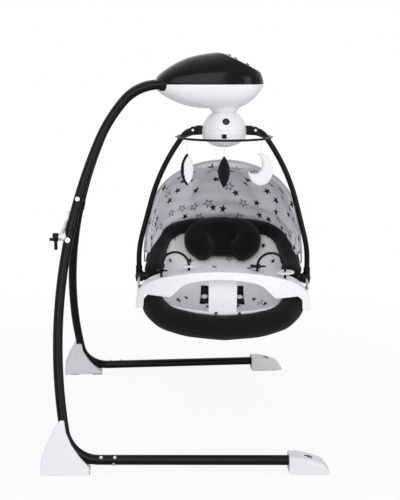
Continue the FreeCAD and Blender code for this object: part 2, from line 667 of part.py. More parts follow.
def toy_places():
    """Hanging points on the toy ring: angle from the seat's front, and the point."""
    places = {}
    for name, angle in (("leaf", -TOY_TURN), ("drop", 0.0), ("moon", TOY_TURN)):
        a = math.radians(angle)
        places[name] = (angle, V(RING_R * math.sin(a), -RING_R * math.cos(a), RING_Z))
    return places


def arc_face(*points):
    """Face in the XZ plane bounded by arcs; every other point is the middle of an arc."""
    arcs = [Part.Arc(points[i], points[i + 1], points[(i + 2) % len(points)]).toShape()
            for i in range(0, len(points), 2)]
    return Part.Face(Part.Wire(arcs))


MOON_R, MOON_BITE, MOON_OPEN = 46.0, 31.0, 144.0    # moon, its bite, the way it opens


def make_toys():
    nodes = {}
    for name, (angle, at) in toy_places().items():
        top = RING_Z - RING_ROD_R - 0.2
        string = rod((at.x, at.y, top - STRING_L), (at.x, at.y, top), STRING_R)
        toy_top = top - STRING_L
        if name == "drop":
            half, width = 46.0, 16.5
            bulge = Part.BSplineCurve()
            bulge.interpolate([V(0, 0, half), V(0.72 * width, 0, 0.5 * half), V(width, 0, 0),
                               V(0.72 * width, 0, -0.5 * half), V(0, 0, -half)])
            curve = bulge.toShape()
            face = Part.Face(Part.Wire([curve, Part.makeLine(V(0, 0, -half), V(0, 0, half))]))
            toy = face.revolve(V(0, 0, 0), V(0, 0, 1), 360)
            centre_z = toy_top - half
            shift = 0.0
        elif name == "moon":
            half, thick = MOON_R, 24.0
            face = Part.Face(Part.Wire(Part.makeCircle(MOON_R, V(0, 0, 0), V(0, 1, 0))))
            toy = moved(face, 0, -thick / 2, 0).extrude(V(0, thick, 0))
            a = math.radians(MOON_OPEN)
            bite = V(MOON_BITE * math.cos(a), 0, MOON_BITE * math.sin(a))
            toy = toy.cut(rod((bite.x, -thick, bite.z), (bite.x, thick, bite.z), MOON_BITE))
            centre_z = toy_top - half
            shift = -3.0
        else:
            half, thick = 45.0, 20.0
            leaf = arc_face(V(0, 0, half), V(-17, 0, 4), V(0, 0, -half), V(17, 0, 10))
            toy = moved(leaf, 0, -thick / 2, 0).extrude(V(0, thick, 0))
            centre_z = toy_top - half
            shift = 0.0
        toy = moved(toy, shift, 0, centre_z)
        gap_up = toy_top - toy.BoundBox.ZMax
        toy = moved(toy, at.x, at.y, gap_up - 0.1)
        nodes[name + "_string"] = string
        nodes[name + "_toy"] = toy
    return nodes


# rim frame: x across, v along the tilted rim (positive to the back), d depth below it
def rim_placed(shape):
    """Place a shape drawn with the rim in the plane z = 0."""
    return moved(turned(shape, (0, 0, 0), (1, 0, 0), RIM_TILT), 0, 0, RIM_Z)


def oval(half_x, half_y, shift_y=0.0, z=0.0, inset=0.0):
    """Eight tangent arcs, from the right-hand side anticlockwise: sides, corners and ends."""
    side_r, corner_r, end_r = 4.5 * half_x, 0.55 * half_x, 1.65 * half_x
    side_c = side_r - half_x
    end_c = end_r - half_y
    # the corner's centre lies a known distance from both the side's and the end's centre
    far, near = side_r - corner_r, end_r - corner_r
    gap = math.hypot(side_c, end_c)
    along = (far * far - near * near + gap * gap) / (2 * gap)
    across = math.sqrt(far * far - along * along)
    ux, uy = side_c / gap, -end_c / gap
    cx = -side_c + along * ux - across * uy
    cy = along * uy + across * ux
    a_side = math.atan2(cy, cx + side_c)
    a_end = math.atan2(cy + end_c, cx)

    def arc(x, y, r, start, end):
        points = [V(x + (r - inset) * math.cos(a), y + (r - inset) * math.sin(a) + shift_y, z)
                  for a in (start, (start + end) / 2, end)]
        return Part.Arc(*points).toShape()

    half, turn = math.pi / 2, math.pi
    return [arc(-side_c, 0, side_r, -a_side, a_side), arc(cx, cy, corner_r, a_side, a_end),
            arc(0, -end_c, end_r, a_end, turn - a_end), arc(-cx, cy, corner_r, turn - a_end, turn - a_side),
            arc(side_c, 0, side_r, turn - a_side, turn + a_side),
            arc(-cx, -cy, corner_r, turn + a_side, turn + a_end),
            arc(0, end_c, end_r, turn + a_end, 4 * half - a_end),
            arc(cx, -cy, corner_r, 4 * half - a_end, 4 * half - a_side)]


# levels of the seat tub: depth, half width, half length, shift along the rim
TUB = [(0, 200, 246, 20), (38, 188, 220, 12), (76, 168, 183, -5), (104, 136, 142, -26), (124, 96, 99, -45)]


def tub_solid(inset):
    """Inside of the tub: its levels drawn in by an inset and raised towards the floor."""
    wires = []
    for depth, half_x, half_y, shift in TUB:
        z = -depth + inset * depth / TUB[-1][0]
        wires.append(Part.Wire(oval(half_x, half_y, shift, z, inset)))
    body = Part.makeLoft(wires, True, False)
    if inset > 0:
        _, half_x, half_y, shift = TUB[0]
        lid = Part.Wire(oval(half_x, half_y, shift, 0.0, inset))
        body = body.fuse(Part.Face(lid).extrude(V(0, 0, 2)))
    return body


def roll_arc(edges, radius):
    """Stuffed roll along tangent arcs, with ball ends."""
    wire = Part.Wire(edges)
    body = swept(wire, radius)
    ends = [wire.OrderedVertexes[0].Point, wire.OrderedVertexes[-1].Point]
    for end in ends:
        body = body.fuse(Part.makeSphere(radius, end))
    return body


def trimmed(edge, keep_from, keep_to):
    """Part of an arc between two fractions of its length."""
    p0, p1 = edge.FirstParameter, edge.LastParameter
    a = p0 + (p1 - p0) * keep_from
    b = p0 + (p1 - p0) * keep_to
    return Part.Arc(edge.valueAt(a), edge.valueAt((a + b) / 2), edge.valueAt(b)).toShape()


# centre lines of the stuffed rolls, on the rim: half width, half length, shift
BACK_ROLL = (198.0, 255.0, 16.0)
LIP = (205.0, 255.0, 5.0)
LIP_R = 33.0
LIP_DROOP = 6.0          # the lip hangs down in front of the rim by this angle


def make_seat(foot_x):
    shell = tub_solid(0).cut(tub_solid(SHELL_T))
    pad = tub_solid(SHELL_T).cut(tub_solid(SHELL_T + PAD_T))
    pad = pad.common(box(-400, 400, -400, 400, -300, 0))
    shell, pad = rim_placed(shell), rim_placed(pad)
    shell = largest(shell)
    pad = largest(pad)

    # side bosses: the recline pins and the canopy wire turn in them
    boss_out = foot_x - FOOT_IN - GAP
    bosses = []
    for sx in (-1, 1):
        big = rod((sx * 180, 0, ARM_FOOT_Z), (sx * boss_out, 0, ARM_FOOT_Z), 13.0)
        small = rod((sx * 165, CANOPY_Y, CANOPY_Z), (sx * CLIP_X, CANOPY_Y, CANOPY_Z), 7.0)
        stud_y, stud_z = TRAY_STUD
        stud = rod((sx * 170, stud_y, stud_z), (sx * (TRAY_ARM_X + 7), stud_y, stud_z), TRAY_STUD_R)
        stop = rod((sx * 170, stud_y, stud_z), (sx * (TRAY_ARM_X - 1), stud_y, stud_z), 9.0)
        inside = rim_placed(tub_solid(SHELL_T))
        bosses.append(fuse([big, small, stud, stop]).cut(inside))
        shell = shell.fuse(bosses[-1])
    for sx in (-1, 1):
        shell = shell.cut(rod((sx * (foot_x - 37), 0, ARM_FOOT_Z), (sx * 260, 0, ARM_FOOT_Z), PIN_R + RUN))
        shell = shell.cut(rod((sx * 196, CANOPY_Y, CANOPY_Z), (sx * 260, CANOPY_Y, CANOPY_Z), WIRE_R + RUN))
    shell = largest(shell)

    hinge_room = both(rod((216, CANOPY_Y, CANOPY_Z), (245, CANOPY_Y, CANOPY_Z), 14.0))
    line = oval(*BACK_ROLL)
    hind = roll_arc([trimmed(line[0], 0.45, 1.0)] + line[1:4] + [trimmed(line[4], 0.0, 0.55)], ROLL_R)
    line = oval(*LIP)
    lip = roll_arc([trimmed(line[5], 0.18, 1.0), line[6], trimmed(line[7], 0.0, 0.82)], LIP_R)
    lip = turned(lip, (0, -100, 0), (1, 0, 0), LIP_DROOP)
    hind, lip = rim_placed(hind), rim_placed(lip)
    room = rim_placed(tub_solid(0))
    rolls = []
    for roll in (hind, lip):
        for other in [room, shell, hinge_room] + bosses:
            roll = roll.cut(other)
        rolls.append(largest(roll))
    hind, lip = rolls
    return shell, pad, hind, lip


CLIP_X = 221.5           # outer end of the bosses that hold the canopy wire
TRAY_STUD = (-62.0, 400.0)      # tray studs on the shell's sides: y and height
TRAY_STUD_R = 5.0
TRAY_ARM_X = 235.0       # inner face of the tray's side arms


def make_pillow(pad, shell, roll):
    """Horseshoe head pillow lying on the back of the pad, with a flat cushion in its middle."""
    # centre line of the right half from the lobe's end to the top: x, height and radius
    half = [(60, 0, 36), (74, 14, 39), (79, 36, 40), (70, 60, 35), (42, 77, 28), (0, 84, 25)]
    stations = half + [(-x, z, r) for x, z, r in reversed(half[:-1])]
    path = Part.BSplineCurve()
    path.interpolate([V(x, 0, z) for x, z, r in stations])
    rings = []
    for x, z, r in stations:
        at = V(x, 0, z)
        along = V(*path.tangent(path.parameter(at))[0])
        rings.append(Part.Wire(Part.makeCircle(r, at, along)))
    pieces = [Part.makeLoft(rings, True, False)]
    end_x, end_z, end_r = half[0]
    pieces.append(both(Part.makeSphere(end_r + 0.4, V(end_x, 0, end_z))))
    pieces.append(box(-62, 62, -8, 16, -24, 72))
    leaning = turned(fuse(pieces), (0, 0, 0), (1, 0, 0), -32.0)
    placed = moved(leaning, 0, 168, 465)
    for other in (pad, shell, roll):
        placed = placed.cut(other)
    return largest(placed)


def make_harness():
    """Shoulder, waist and crotch straps with their buckles, lying on the pad."""
    face = SHELL_T + PAD_T
    room = tub_solid(face)
    web = room.cut(tub_solid(face + 2.2))
    buckle = room.cut(tub_solid(face + 7.0))
    webs = [box(-66, 66, 30, 55, -400, 400), box(-14, 14, -120, 40, -400, 400)]
    buckles = [box(-20, 20, 8, 44, -400, 400)]
    for sx in (-1, 1):
        webs.append(box(sx * 52 - 12, sx * 52 + 12, 40, 128, -400, 400))
        buckles.append(box(sx * 52 - 15, sx * 52 + 15, 34, 58, -400, 400))
    lying = []
    for layer, plan in ((web, webs), (buckle, buckles)):
        lying.append(rim_placed(layer).common(fuse(plan)).common(box(-200, 200, -200, 200, 250, 410)))
    return largest(fuse(lying))


# ---------------------------------------------------------------- canopy
HOOP_APEX = 299.0


def hoop_path(inset=0.0, scale=1.0):
    """Outline of the canopy's hoop, from the apex to the right-hand foot."""
    path = Path(0, CANOPY_Z + HOOP_APEX * scale - inset, 0)
    path.bend(262 * scale - inset, -29.4).bend(164 * scale - inset, -45.6)
    path.bend(640 * scale - inset, -14.0)
    return path


def make_canopy():
    right = hoop_path()
    corner_r = 8.0
    right.line((right.z - CANOPY_Z - corner_r) / math.sin(math.radians(89)))
    right.bend(corner_r, -91.0).line(right.x - 200.0)
    full = right.wire()
    side = swept(full, WIRE_R)
    hoop = side.fuse(mirrored(side, (1, 0, 0)))
    hoop = moved(hoop, 0, CANOPY_Y, 0)

    def hood_slice(angle, scale, inset):
        """Closed outline of the cloth at an angle back from upright."""
        outer, inner = hoop_path(inset, scale), hoop_path(inset + CLOTH_T, scale)
        apex = CANOPY_Z + HOOP_APEX * scale - inset
        foot_edge = Part.makeLine(outer.point(), inner.point())
        apex_edge = Part.makeLine(V(0, 0, apex - CLOTH_T), V(0, 0, apex))
        wire = Part.Wire(Part.__sortEdges__(outer.edges + inner.edges + [foot_edge, apex_edge]))
        return moved(turned(wire, (0, 0, CANOPY_Z), (1, 0, 0), -angle), 0, CANOPY_Y, 0)

    def hood(inset, start, end, shrink):
        """Cloth shell through slices that turn about the hinge line and draw in to the rim."""
        steps = 5
        slices = []
        for i in range(steps + 1):
            part = i / steps
            slices.append(hood_slice(start + (end - start) * part, 1.0 - shrink * part ** 1.3, inset))
        piece = Part.makeLoft(slices, True, False)
        return piece.fuse(mirrored(piece, (1, 0, 0))).removeSplitter()

    front = hood(0.0, 1.2, CANOPY_SPLIT, 0.0)
    rear = hood(CLOTH_T + 1.0, CANOPY_SPLIT - 3.0, CANOPY_BACK, CANOPY_SHRINK)
    front = front.cut(hoop)
    hub_room = both(rod((190, CANOPY_Y, CANOPY_Z), (240, CANOPY_Y, CANOPY_Z), 15.0))
    front = front.cut(hub_room)
    rear = rear.cut(both(rod((190, CANOPY_Y, CANOPY_Z), (240, CANOPY_Y, CANOPY_Z), 30.0)))
    return hoop, front, rear


# ---------------------------------------------------------------- tray
def make_tray():
    """Arched tray with turned-down sides, side arms to the seat's bosses and a crotch post."""
    def arch(inset):
        """Half outline from the middle of the top down the right side."""
        path = Path(0, TRAY_TOP - inset, 0)
        path.bend(530 - inset, -18).bend(143 - inset, -23).bend(66.5 - inset, -45).line(20)
        return path

    outer, inner = arch(0), arch(TRAY_T)
    close_low = Part.makeLine(outer.point(), inner.point())
    close_top = Part.makeLine(V(0, 0, TRAY_TOP - TRAY_T), V(0, 0, TRAY_TOP))
    band = face_of(outer.edges + [close_low] + inner.edges + [close_top])
    front_y = TRAY_BOW_Y - TRAY_FRONT_R
    bow = [moved(Part.makeCylinder(r, 200), 0, TRAY_BOW_Y, 340)
           for r in (TRAY_FRONT_R, TRAY_FRONT_R - TRAY_T, TRAY_BACK_R)]
    band = moved(band, 0, front_y, 0).extrude(V(0, TRAY_BOW_Y - front_y, 0))
    band = band.common(bow[0]).cut(bow[2])
    skirt_low = Path(0, TRAY_TOP - TRAY_BROW, 0)
    skirt_low.bend(330, -15.0).bend(60, -30.0)
    skirt_low.line((skirt_low.z - HORN_CLEAR_Z) * math.sqrt(2))
    knee = skirt_low.point()
    low_out = V(outer.x, 0, outer.z)
    corners = [low_out, V(outer.x - WING_W, 0, outer.z + 5), V(outer.x - WING_W - 2, 0, knee.z), knee]
    sides = [Part.makeLine(corners[i], corners[i + 1]) for i in range(3)]
    middle = Part.makeLine(V(0, 0, TRAY_TOP - TRAY_BROW), V(0, 0, TRAY_TOP))
    skirt = face_of(outer.edges + sides + skirt_low.edges + [middle])
    skirt = moved(skirt, 0, front_y, 0).extrude(V(0, TRAY_BOW_Y - front_y, 0))
    skirt = skirt.common(bow[0]).cut(bow[1])
    stud_y, stud_z = TRAY_STUD
    slot_r = TRAY_STUD_R + GAP
    back_end = TRAY_BOW_Y - math.sqrt(TRAY_BACK_R ** 2 - TRAY_ARM_X ** 2)
    side_arm = box(TRAY_ARM_X, TRAY_ARM_X + TRAY_T, back_end - 16, stud_y + 22, 384, 428)
    side_arm = side_arm.cut(rod((TRAY_ARM_X - 1, stud_y, stud_z), (TRAY_ARM_X + 9, stud_y, stud_z), slot_r))
    side_arm = side_arm.cut(box(TRAY_ARM_X - 1, TRAY_ARM_X + 9, stud_y - slot_r, stud_y + slot_r,
                                300, stud_z))
    half = fuse([band, skirt, side_arm])
    whole = half.fuse(mirrored(half, (1, 0, 0))).removeSplitter()
    post_top = TRAY_TOP - 2.5
    post = box(-POST_HALF, POST_HALF, -200, -194, POST_LOW, post_top)
    back_y = TRAY_BOW_Y - TRAY_BACK_R
    web = both(box(POST_HALF - 5, POST_HALF, -200, back_y - 1, POST_LOW, post_top))
    return fuse([whole, post, web])


def make_arches(tray):
    """Two little wire arches over the tray, their star discs and round discs."""
    arches, stars, rounds = [], [], []
    y = ARCH_Y
    for sx, star_r, round_r in ((-1, 17.0, 14.5), (1, 23.0, 24.0)):
        a, b = sx * ARCH_X - ARCH_HALF, sx * ARCH_X + ARCH_HALF
        path = Path(a, ARCH_FOOT_Z, 90)
        path.line(ARCH_LEG).bend(ARCH_HALF, -180).line(ARCH_LEG)
        arch = moved(swept(path.wire(), ARCH_R), 0, y, 0)
        arches.append(arch.cut(tray))
        for x, group, kind in ((a, stars, "star"), (b, rounds, "round")):
            z = DISC_Z[abs(x) < ARCH_X]
            if kind == "star":
                points = []
                for i in range(10):
                    r = star_r if i % 2 == 0 else 0.46 * star_r
                    t = math.pi * i / 5
                    points.append((x + r * math.cos(t), y + r * math.sin(t), z))
                disc = polygon(points).extrude(V(0, 0, 4.0))
            else:
                disc = Part.makeCylinder(round_r, 3.2, V(x, y, z))
            group.append(disc.cut(rod((x, y, z - 5), (x, y, z + 9), ARCH_R + RUN)))
    return (Part.makeCompound([largest(arch) for arch in arches]),
            Part.makeCompound(stars), Part.makeCompound(rounds))


# ---------------------------------------------------------------- everything, written out
def stand_nodes():
    """Both sides of the stand with the bar between them."""
    nodes = {}
    near = make_side()
    for name, shape in near.items():
        nodes["near_" + name] = shape
        nodes["far_" + name] = mirrored(shape, (0, 1, 0))
    bar, near_hub, far_hub, lever = make_spreader()
    near_tubes = near["upper_tube"].fuse(near["lower_tube"])
    far_tubes = mirrored(near_tubes, (0, 1, 0))
    nodes["spreader_bar"] = bar
    nodes["lock_hub"] = largest(near_hub.cut(near_tubes))
    nodes["spreader_pivot"] = largest(far_hub.cut(far_tubes))
    nodes["lock_lever"] = lever
    return nodes


def seat_nodes():
    """Everything that turns with the seat, in its place in the swing's frame."""
    nodes, foot_x = make_carrier()
    nodes.update(make_toys())
    shell, pad, hind, lip = make_seat(foot_x)
    pillow = make_pillow(pad, shell, hind)
    hoop, front, rear = make_canopy()
    for other in (hind, shell, pad, pillow):
        rear = rear.cut(other)
    tray = make_tray()
    arches, stars, rounds = make_arches(tray)
    nodes.update({
        "seat_shell": shell, "seat_pad": pad, "back_roll": hind, "front_roll": lip,
        "head_pillow": pillow, "harness": make_harness(), "canopy_hoop": hoop,
        "canopy_front": front, "canopy_rear": largest(rear), "tray": tray,
        "tray_arches": arches, "star_discs": stars, "round_discs": rounds})
    return {name: on_seat(shape) for name, shape in nodes.items()}


def main():
    nodes = stand_nodes()
    nodes.update(make_head())
    nodes.update(make_swing())
    nodes.update(seat_nodes())
    bounds = FreeCAD.BoundBox()
    for shape in nodes.values():
        bounds.add(shape.BoundBox)
    dx, dy = -bounds.Center.x, -bounds.Center.y
    print("shift to the middle of the footprint: %.3f %.3f, floor at %.3f" % (dx, dy, bounds.ZMin))
    for name, shape in nodes.items():
        save(name, moved(shape, dx, dy, 0))


main()
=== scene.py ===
# %% [markdown]
# # A baby swing on a folding stand
#
# The swing has a hard side and a soft side.  Bent steel tubes, moulded covers and a tray are made
# in presses and moulds, so their solids already have the right shape and mostly need a finish.
# The canopy, the stuffed rolls, the pillow and the seat's liner are sewn, so they are built here
# as cloth, round the solids that hold them.

# %% Load the fixed frame
import json
import math

import bmesh
import bpy
import numpy as np
from mathutils import Matrix, Vector, noise
from mathutils.bvhtree import BVHTree


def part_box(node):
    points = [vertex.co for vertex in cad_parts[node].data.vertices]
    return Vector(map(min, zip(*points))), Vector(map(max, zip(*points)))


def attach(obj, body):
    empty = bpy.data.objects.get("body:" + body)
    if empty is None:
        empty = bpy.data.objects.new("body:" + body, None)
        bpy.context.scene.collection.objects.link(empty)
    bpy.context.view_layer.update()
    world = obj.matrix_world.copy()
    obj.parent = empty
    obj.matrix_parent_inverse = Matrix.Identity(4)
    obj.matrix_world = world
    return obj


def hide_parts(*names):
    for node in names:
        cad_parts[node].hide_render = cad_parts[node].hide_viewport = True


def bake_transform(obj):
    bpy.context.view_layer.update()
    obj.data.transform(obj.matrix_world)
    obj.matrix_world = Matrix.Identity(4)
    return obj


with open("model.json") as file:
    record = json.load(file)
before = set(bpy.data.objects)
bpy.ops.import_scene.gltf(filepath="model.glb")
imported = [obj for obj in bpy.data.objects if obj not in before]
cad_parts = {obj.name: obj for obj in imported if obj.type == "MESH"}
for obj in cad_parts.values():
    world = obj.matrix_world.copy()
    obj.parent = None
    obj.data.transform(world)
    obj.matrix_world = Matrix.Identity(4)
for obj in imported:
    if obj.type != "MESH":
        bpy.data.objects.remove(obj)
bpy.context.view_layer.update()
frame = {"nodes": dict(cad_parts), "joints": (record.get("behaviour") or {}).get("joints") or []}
scene = bpy.context.scene
MM = 0.001

# %% [markdown]
# The seat hangs from a hub and is turned a few degrees on it.  Everything sewn is easier to draw
# square to the seat, so a matrix takes points from the seat's own square frame, in millimetres,
# to the object's frame, in metres.  The hub's place and the turn are read from the frame.

# %% Seat frame
low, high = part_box("hub_bowl")
HUB = (low + high) / 2
recline = next(j for j in frame["joints"] if j["name"] == "recline")
SEAT_TURN = math.atan2(recline["axis"][1], recline["axis"][0])
SEAT = (Matrix.Translation((HUB.x, HUB.y, 0)) @ Matrix.Rotation(SEAT_TURN, 4, "Z")
        @ Matrix.Scale(MM, 4))
RIM_Z, RIM_TILT = 433.0, math.radians(19.0)
RIM = SEAT @ Matrix.Translation((0, 0, RIM_Z)) @ Matrix.Rotation(RIM_TILT, 4, "X")
print("hub at", [round(c, 4) for c in HUB], "seat turned", round(math.degrees(SEAT_TURN), 2))

# %% [markdown]
# The camera stands a good two metres in front of the swing at chest height and looks down at it
# a little, with a moderately long lens.  A small shift frames the tall stand.

# %% Camera
eye = Vector((-0.1121, -2.464, 1.0156))
camera_data = bpy.data.cameras.new("camera")
camera_data.sensor_width = 36.0
camera_data.lens = 63.36
camera_data.shift_x = 0.05
camera = bpy.data.objects.new("camera", camera_data)
camera.location = eye
camera.rotation_euler = (math.radians(90 - 11.81), 0, math.radians(-2.24))
scene.collection.objects.link(camera)
scene.camera = camera
print("camera at", list(eye))

# %% [markdown]
# Three short strings hang the toys from the ring: the only cords of this swing.  Each is pulled
# straight by its toy, so five points in a line from the ring to the toy are enough.

# %% Toy strings
strings = []
for name in ("leaf", "drop", "moon"):
    low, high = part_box(name + "_string")
    middle = (low + high) / 2
    top, bottom = Vector((middle.x, middle.y, high.z)), Vector((middle.x, middle.y, low.z))
    curve = bpy.data.curves.new(name + "_cord", "CURVE")
    curve.dimensions = "3D"
    spline = curve.splines.new("NURBS")
    spline.points.add(4)
    for i in range(5):
        spline.points[i].co = (*top.lerp(bottom, i / 4), 1.0)
        spline.points[i].radius = 0.01      # a point's radius counts in the curve's bounds
    spline.order_u = 3
    spline.use_endpoint_u = True
    curve.bevel_depth = 0.7 * MM / 0.01
    curve.bevel_resolution = 2
    cord = bpy.data.objects.new(name + "_cord", curve)
    scene.collection.objects.link(cord)
    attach(cord, name)
    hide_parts(name + "_string")
    strings.append(cord)
print("strings %.0f mm long" % ((top - bottom).length / MM))

# %% [markdown]
# Materials are built from nodes.  One helper turns a maker's sRGB colour into the linear colour
# that the shader works in; the other adds one node with its settings and its links, so that each
# material below reads as a short list.

# %% Node helpers
def srgb(code, alpha=1.0):
    """Linear colour of an sRGB hex code."""
    parts = [int(code[i:i + 2], 16) / 255 for i in (1, 3, 5)]
    return [p / 12.92 if p <= 0.04045 else ((p + 0.055) / 1.055) ** 2.4 for p in parts] + [alpha]


def add(tree, kind, settings=None, **links):
    """Add one node.  settings holds properties and socket values; links names sockets to feed."""
    node = tree.nodes.new(kind)
    for key, value in (settings or {}).items():
        if isinstance(key, int) or key in node.inputs:
            node.inputs[key].default_value = value
        else:
            setattr(node, key, value)
    for key, source in links.items():
        name = key.replace("_", " ")
        socket = node.inputs[int(key[1:])] if key[0] == "i" and key[1:].isdigit() else node.inputs[name]
        tree.links.new(source, socket)
    return node


def new_material(name):
    """An empty material with its principled shader, and the tree to add to."""
    material = bpy.data.materials.new(name)
    material.use_nodes = True
    tree = material.node_tree
    tree.nodes.clear()
    out = tree.nodes.new("ShaderNodeOutputMaterial")
    shader = tree.nodes.new("ShaderNodeBsdfPrincipled")
    tree.links.new(shader.outputs[0], out.inputs[0])
    return material, tree, shader


def feed(tree, source, socket):
    tree.links.new(source, socket)


# %% [markdown]
# ## Hard finishes
#
# Powder coat on steel tube is a plastic film baked over the metal: dark, a little glossy, with a
# fine orange-peel ripple of about two millimetres.  Moulded ABS is smoother.  Every hard finish
# here is one base colour with slow mottling, a roughness that varies a little, and a fine bump,
# so one function makes them all from those sizes.

# %% Hard finish maker
def hard_finish(name, colour, roughness, ripple_mm, ripple, mottle=0.06, metallic=0.0, shine=0.5):
    """A moulded, coated or metal finish with mottled colour, uneven gloss and a fine ripple."""
    material, tree, shader = new_material(name)
    place = add(tree, "ShaderNodeTexCoord").outputs["Object"]
    slow = add(tree, "ShaderNodeTexNoise", {"Scale": 9.0, "Detail": 3.0, "Roughness": 0.6}, Vector=place)
    tone = add(tree, "ShaderNodeMapRange", {"To Min": 1.0 - mottle, "To Max": 1.0 + mottle},
               Value=slow.outputs[0])
    base = add(tree, "ShaderNodeMix",
               {"data_type": "RGBA", "blend_type": "MULTIPLY", 0: 1.0, 6: srgb(colour)},
               i7=tone.outputs[0])
    feed(tree, base.outputs[2], shader.inputs["Base Color"])
    wear = add(tree, "ShaderNodeTexNoise", {"Scale": 38.0, "Detail": 2.0}, Vector=place)
    gloss = add(tree, "ShaderNodeMapRange", {"To Min": roughness * 0.82, "To Max": roughness * 1.2},
                Value=wear.outputs[0])
    feed(tree, gloss.outputs[0], shader.inputs["Roughness"])
    fine = add(tree, "ShaderNodeTexNoise", {"Scale": 1000.0 / ripple_mm, "Detail": 1.0}, Vector=place)
    bump = add(tree, "ShaderNodeBump", {"Strength": ripple, "Distance": 0.0004}, Height=fine.outputs[0])
    feed(tree, bump.outputs[0], shader.inputs["Normal"])
    shader.inputs["Metallic"].default_value = metallic
    shader.inputs["Specular IOR Level"].default_value = shine
    return material


POWDER_COAT = hard_finish("powder_coated_steel", "#08080a", 0.24, 2.6, 0.04, shine=0.15)
WHITE_ABS = hard_finish("white_gloss_abs", "#edecf2", 0.24, 3.0, 0.05, mottle=0.02)
FOOT_PP = hard_finish("white_foot_polypropylene", "#e4e4ea", 0.40, 1.4, 0.12, mottle=0.03)
TRAY_PP = hard_finish("white_polypropylene", "#f3f2f6", 0.28, 4.0, 0.05, mottle=0.015)
BLACK_ABS = hard_finish("black_gloss_abs", "#060608", 0.14, 9.0, 0.03, mottle=0.08, shine=0.15)
BLACK_NYLON = hard_finish("black_nylon", "#09090b", 0.42, 0.9, 0.25, mottle=0.12, shine=0.15)
GREY_ACETAL = hard_finish("grey_acetal", "#8d8e93", 0.38, 1.5, 0.15)
BUTTON_ABS = hard_finish("button_abs", "#121214", 0.35, 1.0, 0.20, shine=0.25)
LENS = hard_finish("smoked_acrylic", "#2a2b30", 0.12, 6.0, 0.02, shine=0.35)
SOLE_RUBBER = hard_finish("moulded_rubber", "#19191a", 0.78, 1.1, 0.60, mottle=0.15, shine=0.2)
ZINC_STEEL = hard_finish("zinc_plated_steel", "#c9cacc", 0.30, 1.2, 0.20, metallic=1.0)
BRIGHT_WIRE = hard_finish("drawn_steel_wire", "#b9babd", 0.24, 0.8, 0.15, metallic=1.0)
COPPER = hard_finish("enamelled_copper", "#b87333", 0.30, 0.6, 0.5, metallic=1.0)
BOARD = hard_finish("lacquered_board", "#1f5a34", 0.30, 1.0, 0.2)
print("hard finishes:", len(bpy.data.materials))

# %% [markdown]
# Each carried-over node takes its finish here.  The list follows the object: stand, head, hub,
# seat fittings, tray.

# %% Finish the hard nodes
FINISH = {
    POWDER_COAT: ["upper_tube", "lower_tube", "leg_tube", "hanger_arms", "toy_ring"],
    FOOT_PP: ["heel_bracket", "toe_foot"],
    WHITE_ABS: ["head_lower_cover", "control_plate", "hub_dome", "hub_carrier",
                "hub_bowl", "lock_hub", "spreader_pivot", "arm_rivets", "round_discs"],
    TRAY_PP: ["tray"],
    BLACK_ABS: ["head_upper_cover"],
    BLACK_NYLON: ["arm_brackets", "hub_latch", "lock_lever", "tray_arches", "star_discs",
                  "seat_shell", "tube_sockets", "battery_box", "arm_feet"],
    GREY_ACETAL: ["swing_bearings"],
    BUTTON_ABS: ["power_button", "speed_button", "music_button"],
    SOLE_RUBBER: ["foot_pads"],
    ZINC_STEEL: ["tube_bolts", "cover_screws", "swing_stem", "drive_magnet",
                 "spreader_bar"],
    BRIGHT_WIRE: ["canopy_hoop"],
    COPPER: ["drive_coil"],
    BOARD: ["circuit_board"],
}


def set_material(obj, material):
    obj.data.materials.clear()
    obj.data.materials.append(material)


finished = 0
for material, names in FINISH.items():
    for name in names:
        for node in (name, "near_" + name, "far_" + name):
            if node in frame["nodes"]:
                set_material(frame["nodes"][node], material)
                finished += 1
print("finished nodes:", finished)

# %% [markdown]
# ## Cloth finishes
#
# The print is the plain star scatter sold by the metre: solid and outlined five-pointed stars, a
# finger's width across.  A Voronoi texture gives each repeat a point and a random colour; the
# offset from that point is folded into one fifth of a turn, and one straight line then cuts the
# star's arm.  The same line a little further in makes the outline kind hollow.

